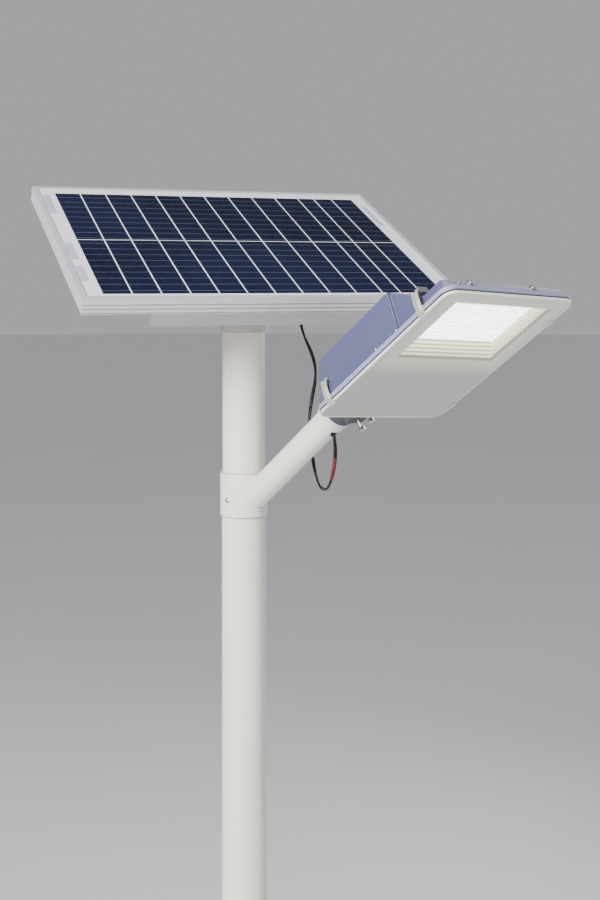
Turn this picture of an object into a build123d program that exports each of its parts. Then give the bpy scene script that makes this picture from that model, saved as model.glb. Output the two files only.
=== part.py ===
"""Solar street lamp: stepped pole on a base plate, tilting solar panel on a pole-top bracket, and an
LED lamp head on a raised arm. Millimetres and degrees, +Z up, origin on the pole's axis at the
underside of the base plate. The panel's low edge faces -Y."""
import math
import os

from build123d import *

# Pole and base plate
PLATE_SIZE = 290.0
PLATE_T = 16.0
PLATE_CORNER_R = 22.0
ANCHOR_PITCH = 210.0
ANCHOR_HOLE_R = 9.0
GUSSET_H = 120.0
GUSSET_REACH = 62.0
GUSSET_T = 8.0
POLE_BASE_R = 45.2
POLE_STEP_R = 39.6
POLE_TOP_R = 38.0
POLE_WALL = 3.0
POLE_TOP_Z = 2548.0

# Arm collar, arm tube and spigot
ARM_JOINT_Z = 2200.0
ARM_AZIMUTH = 17.22
ARM_RISE = 36.12
COLLAR_BELOW = 11.5
COLLAR_H = 76.6
COLLAR_WALL = 4.3
COLLAR_SCREW_TURNS = (-62.0, 118.0)
COLLAR_SCREW_UP = 18.0
COLLAR_SCREW_R = 2.5
ARM_R = 23.0
ARM_WALL = 2.5
ARM_END = 306.0
ARM_RING_R = 26.0
ARM_RING_W = 9.0
SPIGOT_R = 20.4
SPIGOT_WALL = 2.5
SPIGOT_END = 436.0
RUN_FIT = 0.08
GROMMET_WALL = 1.6
GROMMET_LIP = 1.4

# Pole-top sleeve and tilt bracket
SLEEVE_Z = 2517.0
SLEEVE_WALL = 5.4
SLEEVE_CAP_T = 4.0
SLEEVE_SCREW_TURNS = (30.0, 150.0, 270.0)
SLEEVE_SCREW_Z = 20.0
SLEEVE_SCREW_R = 3.0
HEX_R = 5.6
TILT_Z = 2573.0
TILT = 23.68
EAR_R = 14.0
EAR_T = 5.0
EAR_X = 30.0
LUG_T = 4.0
LUG_GAP = 0.5
LUG_FOOT = 22.0
TILT_BOLT_R = 5.0
TILT_HEAD_R = 9.2
TILT_HEAD_H = 6.4
TILT_NUT_H = 8.0
BOLT_PLAY = 1.0

# Solar panel
PANEL_L = 664.0
PANEL_W = 504.0
PANEL_H = 28.0
PANEL_OFFSET_Y = 16.9
PANEL_Z = 2680.8
FRAME_WALL = 2.0
FRAME_LIP = 10.0
FRAME_FLANGE = 22.0
FRAME_SKIN = 1.8
RIB_OUT = 0.8
RIB_H = 2.0
RIB_Z = (-9.8, -17.1, -24.1)
GLASS_T = 3.2
CELL_T = 0.4
BACKSHEET_T = 0.8
CELL_MARGIN_LEFT = 36.5
CELL_MARGIN_FRONT = 21.5
CELL_MARGIN_BACK = 31.9
CELL_GAP = 2.4
CELL_COLUMNS = [48.0] * 10 + [33.6, 38.0, 44.0]

JUNCTION_X = (20.0, 100.0)
JUNCTION_Y = (-110.0, -50.0)
JUNCTION_H = 15.0

# Mounting box and rails under the panel
BOX_L = 414.0
BOX_SETBACK = 50.0
BOX_DEPTH = 230.0
BOX_DROP = 45.0
BOX_WALL = 1.6
BOX_FLANGE = 18.0
RAIL_X = 150.0
RAIL_W = 24.0
RAIL_H = 14.0

# Lamp head; its own frame has x along the lamp away from the pole, z from the glass to the back.
# Places along it are measured from its near end (_IN) or its far end (_FROM_FAR, SLOPE_IN, FAR_EDGE_IN).
LAMP_L = 345.0
LAMP_W = 246.0
LAMP_CORNER_R = 20.0
LAMP_NEAR_ALONG = 415.2
LAMP_DROP = 70.4
LAMP_DIP = 2.16
LAMP_ROLL = -4.5
COVER_T = 4.0
GASKET_T = 2.0
LIP_T = 7.0
LIP_W = 16.0
WALL_IN = 3.5
HOUSING_WALL = 3.0
DEEP_Z = 80.0
SHALLOW_Z = 30.0
DEEP_END = 119.5
SIDE_LEAN = 5.5
NEAR_LEDGE_Z = 20.0
NEAR_WALL_IN = 22.5
NEAR_BEND_Z = 52.0
NEAR_TOP_IN = 40.5
SLOPE_IN = (122.5, 54.5)
FAR_EDGE_IN = 14.5
STEP_IN = 5.0
SOCKET_R = 27.0
SOCKET_END = 505.0
BOSS_R = 36.0
BOSS_HALF_W = 17.0
BOSS_FROM_END = (84.0, 30.0)
CLAMP_FROM_END = (72.0, 46.0)
CLAMP_OUT = 16.0
CLAMP_R = 3.0
WIRE_WAY_R = 8.0
WIRE_DROP = 472.0
LED_FROM_FAR = (135.5, 35.5)
LED_SIDE = 49.0
WINDOW_FROM_FAR = (167.5, 24.5)
WINDOW_SIDE = 31.5
LENS_Z = 13.0
LED_BOARD_T = 1.6
HEAT_PLATE_T = 4.0
HEAT_FROM_FAR = (142.5, 22.5)
HEAT_SIDE = 23.0
STEPS = 5
TRAY_IN = (10.5, 3.0)
TRAY_T = 2.0
BATTERY_R = 16.2
BATTERY_L = 70.0
BATTERY_PITCH = 34.0
BATTERY_IN = (41.5, 113.5)
PACK_SIDE = 54.0
HOLDER_IN = (38.5, 186.5)
HOLDER_HALF_W = 35.0
CONTROLLER_IN = (77.5, 167.5)
CONTROLLER_GAP = 6.0
CONTROLLER_H = 14.0
CLIP_IN = (43.5, 60.5)
CLIP_W = 14.0
CLIP_PIN_SIDE = 1.5
CLIP_PIN_Z = 38.0
CLIP_PIN_R = 1.5
END_SCREWS = ((-70.0, 4.4), (49.0, 4.4), (-90.0, 2.4))
SIDE_SCREW_FROM_FAR = (175.5, 124.5)
CLIP_T = 1.2
CLIP_CLEAR = 0.4
CLIP_BORE = 0.1
BRACKET_HALF = 4.0
BRACKET_GAP = 0.4
BRACKET_T = 1.8

# Lead between the panel and the arm
LEAD_R = 3.2
LEAD_TOP = [
    (106.0, 0.0, 2568.0), (106.5, -3.0, 2546.0), (106.0, -10.0, 2524.0), (109.5, -23.0, 2502.0),
    (112.5, -46.0, 2479.0), (111.6, -57.5, 2467.8),
]
LEAD_MID = [
    (111.6, -57.5, 2467.8), (110.8, -69.0, 2456.5), (103.5, -89.0, 2434.0), (91.5, -103.5, 2408.0),
    (85.75, -109.5, 2386.5),
]
LEAD_LOOP = [
    (85.75, -109.5, 2386.5), (80.0, -115.5, 2365.0), (80.2, -122.0, 2332.0), (81.6, -131.0, 2301.0),
    (81.3, -146.0, 2274.0), (82.2, -167.0, 2255.5), (82.6, -194.0, 2256.0), (81.8, -216.0, 2275.0),
    (81.0, -230.0, 2298.0), (80.0, -238.5, 2321.0), (77.6, -243.0, 2341.0), (75.0, -243.4, 2359.0),
]


def box_between(x, y, z):
    """A box between pairs of limits."""
    size = [b - a for a, b in (x, y, z)]
    mid = [(a + b) / 2 for a, b in (x, y, z)]
    return Pos(*mid) * Box(*size)


def rod(radius, start, length, axis="X"):
    """A round bar from a point along one axis."""
    spin = {"X": Rot(0, 90, 0), "Y": Rot(-90, 0, 0), "Z": Rot(0, 0, 0)}[axis]
    return Pos(*start) * spin * Pos(0, 0, length / 2) * Cylinder(radius, length)


def tube(outer, inner, start, length, axis="X"):
    """A round tube from a point along one axis."""
    return rod(outer, start, length, axis) - rod(inner, start, length, axis)


def hex_bolt(shank_r, grip, head_r, head_h):
    """A bolt along +Z whose head sits below z = 0."""
    head = extrude(RegularPolygon(head_r, 6), -head_h)
    return head + Pos(0, 0, grip / 2) * Cylinder(shank_r, grip)


def dome_screw(head_r, head_h, shank_r, shank_l):
    """A dome-headed screw with its shank towards -Z and its head's seat at z = 0."""
    ball_r = (head_r ** 2 + head_h ** 2) / (2 * head_h)
    dome = Pos(0, 0, head_h - ball_r) * Sphere(ball_r)
    head = dome & Pos(0, 0, head_h / 2) * Cylinder(head_r, head_h)
    return head + Pos(0, 0, -shank_l / 2) * Cylinder(shank_r, shank_l)


# ---------------------------------------------------------------- frames
arm_turn = Rot(0, 0, ARM_AZIMUTH - 90)
arm_frame = Pos(0, 0, ARM_JOINT_Z) * arm_turn * Rot(0, -ARM_RISE, 0)
half_ll = LAMP_L / 2
half_lw = LAMP_W / 2
lamp_along = LAMP_NEAR_ALONG + half_ll
lamp_frame = (
    arm_frame * Pos(lamp_along, 0, 0) * Rot(LAMP_ROLL, 0, 0) * Pos(0, 0, -LAMP_DROP) * Rot(0, LAMP_DIP, 0)
)
panel_frame = Pos(0, PANEL_OFFSET_Y, PANEL_Z) * Rot(TILT, 0, 0)
parts = {}

# ---------------------------------------------------------------- pole
step_z = ARM_JOINT_Z - COLLAR_BELOW
pole_outline = [
    (POLE_BASE_R, PLATE_T), (POLE_STEP_R, step_z), (POLE_TOP_R, step_z), (POLE_TOP_R, POLE_TOP_Z),
    (POLE_TOP_R - POLE_WALL, POLE_TOP_Z), (POLE_TOP_R - POLE_WALL, step_z - POLE_WALL),
    (POLE_BASE_R - POLE_WALL, PLATE_T),
]
parts["pole"] = revolve(Plane.XZ * make_face(Polyline(pole_outline, close=True)), Axis.Z)

plate = extrude(RectangleRounded(PLATE_SIZE, PLATE_SIZE, PLATE_CORNER_R), PLATE_T)
for spot in GridLocations(ANCHOR_PITCH, ANCHOR_PITCH, 2, 2):
    plate -= spot * Pos(0, 0, PLATE_T / 2) * Cylinder(ANCHOR_HOLE_R, PLATE_T)
drain_r = POLE_BASE_R - POLE_WALL - 8
plate -= Pos(0, 0, PLATE_T / 2) * Cylinder(drain_r, PLATE_T)
parts["base_plate"] = plate

pole_cone = Pos(0, 0, (PLATE_T + step_z) / 2) * Cone(POLE_BASE_R, POLE_STEP_R, step_z - PLATE_T)
gusset_side = make_face(Polyline(
    [(POLE_STEP_R, PLATE_T), (POLE_BASE_R + GUSSET_REACH, PLATE_T),
     (POLE_BASE_R + GUSSET_REACH, PLATE_T + 14), (POLE_BASE_R + 8, PLATE_T + GUSSET_H),
     (POLE_STEP_R, PLATE_T + GUSSET_H)], close=True))
gusset = extrude(Plane.XZ * gusset_side, GUSSET_T / 2, both=True) - pole_cone
parts["base_gussets"] = Compound(children=[Rot(0, 0, a) * gusset for a in (0, 90, 180, 270)])

# ---------------------------------------------------------------- arm
collar_bore = POLE_TOP_R + RUN_FIT
collar_r = POLE_TOP_R + COLLAR_WALL
collar = tube(collar_r, collar_bore, (0, 0, step_z), COLLAR_H, "Z")
collar_solid = rod(collar_r, (0, 0, step_z - 100), COLLAR_H + 200, "Z")
collar_screw = dome_screw(COLLAR_SCREW_R * 2, 2.4, COLLAR_SCREW_R, COLLAR_WALL - 1)
collar_hole = Pos(0, 0, -COLLAR_WALL / 2) * Cylinder(COLLAR_SCREW_R, COLLAR_WALL * 2)
screws = []
for turn in COLLAR_SCREW_TURNS:
    seat = Rot(0, 0, turn - 90) * Pos(collar_r, 0, ARM_JOINT_Z + COLLAR_SCREW_UP) * Rot(0, 90, 0)
    collar -= seat * collar_hole
    screws.append(seat * collar_screw)
parts["arm_collar"] = collar
parts["collar_screws"] = Compound(children=screws)

lead_end = Vector(*LEAD_LOOP[-1])
lead_entry = Plane(origin=lead_end, z_dir=lead_end - Vector(*LEAD_LOOP[-2])).location
arm_tube = arm_frame * tube(ARM_R, ARM_R - ARM_WALL, (20, 0, 0), ARM_END - 20)
arm_hole = lead_entry * Pos(0, 0, -2) * Cylinder(LEAD_R + GROMMET_WALL, 24)
parts["arm_tube"] = arm_tube - collar_solid - arm_hole
parts["arm_ring"] = arm_frame * tube(ARM_RING_R, SPIGOT_R, (ARM_END, 0, 0), ARM_RING_W)
spigot_start = ARM_END + ARM_RING_W
spigot_length = SPIGOT_END - ARM_END
parts["arm_spigot"] = arm_frame * tube(SPIGOT_R, SPIGOT_R - SPIGOT_WALL, (ARM_END, 0, 0), spigot_length)
grommet_start = (200, 0, 0)
grommet_span = ARM_END - 200
arm_outside = arm_frame * rod(ARM_R, grommet_start, grommet_span)
arm_inside = arm_frame * rod(SPIGOT_R - SPIGOT_WALL, grommet_start, grommet_span)
grommet_rim = arm_frame * rod(ARM_R + GROMMET_LIP, grommet_start, grommet_span) - arm_outside
grommet = lead_entry * Cylinder(LEAD_R + GROMMET_WALL + GROMMET_LIP, 40) & grommet_rim
grommet += lead_entry * Pos(0, 0, -10) * Cylinder(LEAD_R + GROMMET_WALL, 20) & (arm_outside - arm_inside)
parts["lead_grommet"] = grommet - lead_entry * Cylinder(LEAD_R, 60)

# ---------------------------------------------------------------- pole-top sleeve and tilt bracket
sleeve_r = POLE_TOP_R + SLEEVE_WALL
sleeve = tube(sleeve_r, collar_bore, (0, 0, SLEEVE_Z), POLE_TOP_Z - SLEEVE_Z, "Z")
cap_top = POLE_TOP_Z + SLEEVE_CAP_T
sleeve += rod(sleeve_r, (0, 0, POLE_TOP_Z), SLEEVE_CAP_T, "Z")
sleeve_screws = []
for turn in SLEEVE_SCREW_TURNS:
    seat = Rot(0, 0, turn) * Pos(sleeve_r, 0, SLEEVE_Z + SLEEVE_SCREW_Z) * Rot(0, 90, 0)
    sleeve -= seat * Pos(0, 0, -SLEEVE_WALL / 2) * Cylinder(SLEEVE_SCREW_R, SLEEVE_WALL * 2)
    sleeve_screws.append(seat * Rot(180, 0, 0) * hex_bolt(SLEEVE_SCREW_R, SLEEVE_WALL - 1, HEX_R, 4.0))
parts["top_sleeve"] = sleeve
parts["sleeve_screws"] = Compound(children=sleeve_screws)

ears = []
bolt_bore = rod(TILT_BOLT_R, (-80, 0, TILT_Z), 160)
for side in (-1, 1):
    limits = sorted((side * EAR_X, side * (EAR_X + EAR_T)))
    ear = box_between(limits, (-EAR_R, EAR_R), (cap_top, TILT_Z))
    ear += rod(EAR_R, (limits[0], 0, TILT_Z), EAR_T)
    ears.append(ear - bolt_bore)
parts["tilt_ears"] = Compound(children=ears)

lug_in = EAR_X + EAR_T + LUG_GAP
lug_out = lug_in + LUG_T
bolt_end = lug_out + BOLT_PLAY
bolt_length = 2 * bolt_end + TILT_NUT_H + 2
tilt_bolt = hex_bolt(TILT_BOLT_R, bolt_length, TILT_HEAD_R, TILT_HEAD_H)
parts["tilt_bolt"] = Pos(-bolt_end, 0, TILT_Z) * Rot(0, 90, 0) * tilt_bolt
nut = extrude(RegularPolygon(TILT_HEAD_R, 6), TILT_NUT_H) - Cylinder(TILT_BOLT_R, 4 * TILT_NUT_H)
parts["tilt_nut"] = Pos(bolt_end, 0, TILT_Z) * Rot(0, 90, 0) * nut

# ---------------------------------------------------------------- solar panel
glass_top = -FRAME_SKIN
glass_low = glass_top - GLASS_T
cell_low = glass_low - CELL_T
sheet_low = cell_low - BACKSHEET_T
half_l = PANEL_L / 2
half_w = PANEL_W / 2


def rail_section():
    """A frame rail's section: x inwards from the outer face, y up, with the top face at y = 0."""
    section = Pos(RIB_OUT + FRAME_WALL / 2, -PANEL_H / 2) * Rectangle(FRAME_WALL, PANEL_H)
    for inner, top in ((FRAME_LIP, 0.0), (FRAME_LIP, sheet_low), (FRAME_FLANGE, FRAME_SKIN - PANEL_H)):
        width = inner - RIB_OUT
        section += Pos(RIB_OUT + width / 2, top - FRAME_SKIN / 2) * Rectangle(width, FRAME_SKIN)
    for height in RIB_Z:
        section += Pos((RIB_OUT + 0.4) / 2, height) * Rectangle(RIB_OUT + 0.4, RIB_H)
    return section


def frame_rail(length, reach):
    """A mitred rail along +X whose outer face is at y = 0 and whose body is towards +Y."""
    bar = extrude(Plane.YZ * rail_section(), length / 2, both=True)
    corner = FRAME_FLANGE + 2
    plan = make_face(Polyline(
        [(-length / 2, 0), (length / 2, 0), (length / 2 - corner, corner), (corner - length / 2, corner)],
        close=True))
    return Pos(0, -reach, 0) * (bar & Pos(0, 0, -PANEL_H) * extrude(plan, PANEL_H))


parts["frame_front"] = panel_frame * frame_rail(PANEL_L, half_w)
parts["frame_back"] = panel_frame * Rot(0, 0, 180) * frame_rail(PANEL_L, half_w)
parts["frame_left"] = panel_frame * Rot(0, 0, -90) * frame_rail(PANEL_W, half_l)
parts["frame_right"] = panel_frame * Rot(0, 0, 90) * frame_rail(PANEL_W, half_l)

seat_gap = RIB_OUT + FRAME_WALL
span_x = (-half_l + seat_gap, half_l - seat_gap)
span_y = (-half_w + seat_gap, half_w - seat_gap)
parts["panel_glass"] = panel_frame * box_between(span_x, span_y, (glass_low, glass_top))
parts["panel_backsheet"] = panel_frame * box_between(span_x, span_y, (sheet_low, cell_low))

row_low = -half_w + CELL_MARGIN_FRONT
row_high = half_w - CELL_MARGIN_BACK
row_mid = (row_low + row_high) / 2
cells = []
left = -half_l + CELL_MARGIN_LEFT
for width in CELL_COLUMNS:
    for low, high in ((row_low, row_mid - CELL_GAP / 2), (row_mid + CELL_GAP / 2, row_high)):
        span = (left + CELL_GAP / 2, left + width - CELL_GAP / 2)
        cells.append(panel_frame * box_between(span, (low, high), (cell_low, glass_low)))
    left += width
parts["panel_cells"] = Compound(children=cells)

junction_low = sheet_low - JUNCTION_H
parts["junction_box"] = panel_frame * box_between(JUNCTION_X, JUNCTION_Y, (junction_low, sheet_low))
lid_x = (JUNCTION_X[0] + 2, JUNCTION_X[1] - 2)
lid_y = (JUNCTION_Y[0] + 2, JUNCTION_Y[1] - 2)
parts["junction_lid"] = panel_frame * box_between(lid_x, lid_y, (junction_low - 2, junction_low))

rail_top = FRAME_SKIN - PANEL_H + RAIL_H
rail_low = FRAME_SKIN - PANEL_H
rails = []
for x in (-RAIL_X, RAIL_X):
    outer = box_between((x - RAIL_W / 2, x + RAIL_W / 2), span_y, (rail_low, rail_top))
    hollow = box_between((x - RAIL_W / 2 + BOX_WALL, x + RAIL_W / 2 - BOX_WALL), span_y,
                         (rail_low + BOX_WALL, rail_top - BOX_WALL))
    rails.append(panel_frame * (outer - hollow))
parts["support_rails"] = Compound(children=rails)

# mounting box: a folded channel with an end cap at each end, open towards the panel
box_front = -half_w + BOX_SETBACK
box_back = box_front + BOX_DEPTH
box_low = -PANEL_H - BOX_DROP
channel = box_between((-BOX_L / 2 + BOX_WALL, BOX_L / 2 - BOX_WALL), (box_front, box_back),
                      (box_low, rail_low))
channel -= box_between((-BOX_L, BOX_L), (box_front + BOX_WALL, box_back - BOX_WALL),
                       (box_low + BOX_WALL, rail_low - BOX_WALL))
channel -= box_between((-BOX_L, BOX_L), (box_front + BOX_FLANGE, box_back - BOX_FLANGE),
                       (rail_low - 2 * BOX_WALL, rail_low + 1))
gland_base = panel_frame.inverse() * Pos(LEAD_TOP[0][0], 0, TILT_Z)
gland_q = gland_base.position.Y
gland_seat = Pos(LEAD_TOP[0][0], gland_q, box_low)
channel -= gland_seat * Cylinder(6.0, 10)
parts["mount_box"] = panel_frame * channel
for name, side in (("mount_box_end_left", -1), ("mount_box_end_right", 1)):
    limits = sorted((side * (BOX_L / 2 - BOX_WALL), side * BOX_L / 2))
    parts[name] = panel_frame * box_between(limits, (box_front, box_back), (box_low, rail_low))

box_screws = []
for x in (-RAIL_X, RAIL_X):
    for y in (box_front + BOX_FLANGE / 2 + 2, box_back - BOX_FLANGE / 2 - 2):
        spot = panel_frame * Pos(x, y, rail_low - BOX_WALL)
        box_screws.append(spot * extrude(RegularPolygon(HEX_R, 6), -4.0))
parts["box_screws"] = Compound(children=box_screws)

lugs = []
tilt_in_panel = (panel_frame.inverse() * Pos(0, 0, TILT_Z)).position
lug_foot_y = (tilt_in_panel.Y - LUG_FOOT, tilt_in_panel.Y + LUG_FOOT)
bolt_room = rod(TILT_BOLT_R + RUN_FIT, (-80, tilt_in_panel.Y, tilt_in_panel.Z), 160)
for side in (-1, 1):
    limits = sorted((side * lug_in, side * lug_out))
    lug = box_between(limits, (tilt_in_panel.Y - EAR_R, tilt_in_panel.Y + EAR_R),
                      (tilt_in_panel.Z, box_low))
    lug += rod(EAR_R, (limits[0], tilt_in_panel.Y, tilt_in_panel.Z), LUG_T)
    foot = sorted((side * lug_out, side * (lug_out + LUG_FOOT)))
    lug += box_between(foot, lug_foot_y, (box_low - LUG_T, box_low))
    lugs.append(panel_frame * (lug - bolt_room))
parts["tilt_lugs"] = Compound(children=lugs)

gland_drop = box_low - tilt_in_panel.Z
gland = Pos(0, 0, -2.5) * extrude(RegularPolygon(10.0, 6), -4.5)
gland += Pos(0, 0, -1.25) * Cylinder(8.4, 2.5)
gland += Pos(0, 0, -7.0 - (gland_drop - 8.0) / 2) * Cone(5.2, 7.6, gland_drop - 8.0)
gland += Pos(0, 0, 2.0) * Cylinder(5.9, 4.0)
gland -= Cylinder(LEAD_R, 80)
parts["lead_gland"] = panel_frame * gland_seat * gland

# ---------------------------------------------------------------- lamp head
rim_z = COVER_T + GASKET_T
wall_z = rim_z + LIP_T
deep_end = half_ll - DEEP_END
far_edge = half_ll - FAR_EDGE_IN
near_wall = NEAR_WALL_IN - half_ll
slope_start = half_ll - SLOPE_IN[0]
slope_end = half_ll - SLOPE_IN[1]


def side_profile(inset):
    """The housing seen from its side: x along the lamp, y from the glass to the back."""
    end = half_ll - WALL_IN - inset
    points = [
        (-end, 0), (-end, NEAR_LEDGE_Z - inset), (near_wall + inset, NEAR_LEDGE_Z + 7 - inset),
        (near_wall + 4 + inset, NEAR_BEND_Z), (NEAR_TOP_IN - half_ll + 0.7 * inset, DEEP_Z - inset),
        (slope_start - 0.3 * inset, DEEP_Z - inset), (slope_end - 0.3 * inset, SHALLOW_Z - inset),
        (far_edge - 0.6 * inset, SHALLOW_Z - inset),
        (end, wall_z), (end, 0),
    ]
    face = make_face(Polyline(points, close=True))
    back = [v for v in face.vertices() if v.Y > 24]
    return fillet(back, 5.0)


def cross_section(inset, step):
    """The housing seen along its length: leaning sides and rounded back edges."""
    low = half_lw - WALL_IN - inset - step
    high = low - SIDE_LEAN
    top = DEEP_Z - inset
    points = [(-low, 0), (-low, wall_z), (-high, top), (high, top), (low, wall_z), (low, 0)]
    face = make_face(Polyline(points, close=True))
    back = [v for v in face.vertices() if v.Y > top - 1]
    return fillet(back, 6.0)


def hull(inset, step, x_limits, low):
    """One run of the housing's outside, or of its inside when inset by the wall."""
    length = 2 * (half_ll - WALL_IN - inset)
    width = 2 * (half_lw - WALL_IN - inset - step)
    plan = Pos(0, 0, low) * extrude(RectangleRounded(length, width, LAMP_CORNER_R - WALL_IN), DEEP_Z)
    side = extrude(Plane.XZ * side_profile(inset), LAMP_W, both=True)
    cross = extrude(Plane.YZ * cross_section(inset, step), LAMP_L, both=True)
    trim = box_between(x_limits, (-LAMP_W, LAMP_W), (low, 200))
    return plan & side & cross & trim


far = LAMP_L
outside = hull(0, 0, (-far, deep_end), wall_z) + hull(0, STEP_IN, (deep_end, far), wall_z)
inside = hull(HOUSING_WALL, 0, (-far, deep_end - HOUSING_WALL), wall_z)
inside += hull(HOUSING_WALL, STEP_IN, (deep_end - HOUSING_WALL - 1, far), wall_z)
lip = extrude(RectangleRounded(LAMP_L, LAMP_W, LAMP_CORNER_R), LIP_T)
lip -= extrude(RectangleRounded(LAMP_L - 2 * LIP_W, LAMP_W - 2 * LIP_W, LAMP_CORNER_R - 8), LIP_T)
socket_line = lamp_frame.inverse() * arm_frame
socket_rod = socket_line * rod(SOCKET_R, (spigot_start + 0.5, 0, 0), SOCKET_END - spigot_start - 0.5)
socket_cap = socket_line * Pos(SOCKET_END, 0, 0) * Sphere(SOCKET_R)
housing = outside - inside + Pos(0, 0, rim_z) * lip
housing = housing - socket_rod - socket_cap

boss_span = (SPIGOT_END - BOSS_FROM_END[0], SPIGOT_END - BOSS_FROM_END[1])
boss = box_between(boss_span, (-BOSS_HALF_W, BOSS_HALF_W), (-BOSS_R, 0))
socket = socket_rod + socket_cap + socket_line * boss
bore_end = SPIGOT_END + 4
socket -= socket_line * rod(SPIGOT_R + RUN_FIT, (spigot_start, 0, 0), bore_end - spigot_start)
socket -= socket_line * rod(WIRE_WAY_R, (bore_end, 0, 0), WIRE_DROP - bore_end)
socket -= socket_line * rod(WIRE_WAY_R, (WIRE_DROP, 0, -SOCKET_R - 2), SOCKET_R + 2, "Z")
clamp_screws = []
clamp_top = BOSS_R + CLAMP_OUT
for along in (SPIGOT_END - CLAMP_FROM_END[0], SPIGOT_END - CLAMP_FROM_END[1]):
    start = (along, 0, -clamp_top)
    socket -= socket_line * rod(CLAMP_R, start, clamp_top - SPIGOT_R, "Z")
    screw = rod(CLAMP_R, start, clamp_top - SPIGOT_R - 0.3, "Z")
    screw += Pos(along, 0, -clamp_top - 4) * extrude(RegularPolygon(HEX_R, 6), 5.0)
    clamp_screws.append(socket_line * screw)
parts["lamp_socket"] = lamp_frame * socket
parts["clamp_screws"] = lamp_frame * Compound(children=clamp_screws)

cover = extrude(RectangleRounded(LAMP_L - 2, LAMP_W - 2, LAMP_CORNER_R - 1), COVER_T)
parts["lamp_cover"] = lamp_frame * cover
gasket = extrude(RectangleRounded(LAMP_L - 5, LAMP_W - 5, LAMP_CORNER_R - 2), GASKET_T)
gasket -= extrude(RectangleRounded(LAMP_L - 19, LAMP_W - 19, LAMP_CORNER_R - 9), GASKET_T)
parts["lamp_gasket"] = lamp_frame * Pos(0, 0, COVER_T) * gasket

# reflector: a block with a stepped funnel from the window down to the light board
window_u = [half_ll - distance for distance in WINDOW_FROM_FAR]
window_v = half_lw - WINDOW_SIDE
led_u = [half_ll - distance for distance in LED_FROM_FAR]
led_v = half_lw - LED_SIDE
flange_v = half_lw - WALL_IN - HOUSING_WALL - STEP_IN - 3
board_z = wall_z + 2
reflector = box_between((window_u[0] - 5, window_u[1] + 6), (-window_v - 8, window_v + 8), (rim_z, wall_z))
reflector += box_between((window_u[0] - 7, far_edge - 2), (-flange_v, flange_v), (wall_z, board_z))
for n in range(STEPS):
    share = n / (STEPS - 1)
    low_u = window_u[0] + share * (led_u[0] - window_u[0])
    high_u = window_u[1] + share * (led_u[1] - window_u[1])
    half_v = window_v + share * (led_v - window_v)
    step_top = rim_z + (n + 1) * (board_z - rim_z) / STEPS
    reflector -= box_between((low_u, high_u), (-half_v, half_v), (rim_z - 1, step_top))
parts["lamp_reflector"] = lamp_frame * reflector
lens_u = (led_u[0] + 0.5, led_u[1] - 0.5)
lens_v = led_v - 0.5
parts["led_lens_plate"] = lamp_frame * box_between(lens_u, (-lens_v, lens_v), (LENS_Z, board_z))
board_u = (led_u[0] - 6, led_u[1] + 6)
board_v = led_v + 6
board_back = board_z + LED_BOARD_T
parts["led_board"] = lamp_frame * box_between(board_u, (-board_v, board_v), (board_z, board_back))
heat_back = board_back + HEAT_PLATE_T
heat_u = [half_ll - distance for distance in HEAT_FROM_FAR]
heat_v = half_lw - HEAT_SIDE
parts["heat_plate"] = lamp_frame * box_between(heat_u, (-heat_v, heat_v), (board_back, heat_back))

# gear tray with the battery pack and the charge controller
tray_l = half_ll - TRAY_IN[0] - TRAY_IN[1]
tray_mid = (TRAY_IN[0] - half_ll - TRAY_IN[1]) / 2
tray_plan = RectangleRounded(tray_l, LAMP_W - 18, LAMP_CORNER_R - 5)
tray_z = wall_z + TRAY_T
parts["gear_tray"] = lamp_frame * Pos(tray_mid, 0, wall_z) * extrude(tray_plan, TRAY_T)
cell_z = tray_z + BATTERY_R + 3
battery = []
holders = []
pack_v = half_lw - PACK_SIDE
holder_u = [distance - half_ll for distance in HOLDER_IN]
for v in (-pack_v, pack_v):
    cradle = box_between(holder_u, (v - HOLDER_HALF_W, v + HOLDER_HALF_W), (tray_z, cell_z))
    for side in (-BATTERY_PITCH / 2, BATTERY_PITCH / 2):
        cradle -= rod(BATTERY_R, (holder_u[0] - 6, v + side, cell_z), 160)
        for distance in BATTERY_IN:
            battery.append(lamp_frame * rod(BATTERY_R, (distance - half_ll, v + side, cell_z), BATTERY_L))
    holders.append(lamp_frame * cradle)
parts["battery_cells"] = Compound(children=battery)
parts["battery_holder"] = Compound(children=holders)
controller_u = [distance - half_ll for distance in CONTROLLER_IN]
controller_half_w = pack_v - HOLDER_HALF_W - CONTROLLER_GAP
controller_v = (-controller_half_w, controller_half_w)
controller = box_between(controller_u, controller_v, (tray_z, tray_z + CONTROLLER_H))
parts["charge_controller"] = lamp_frame * controller

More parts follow.
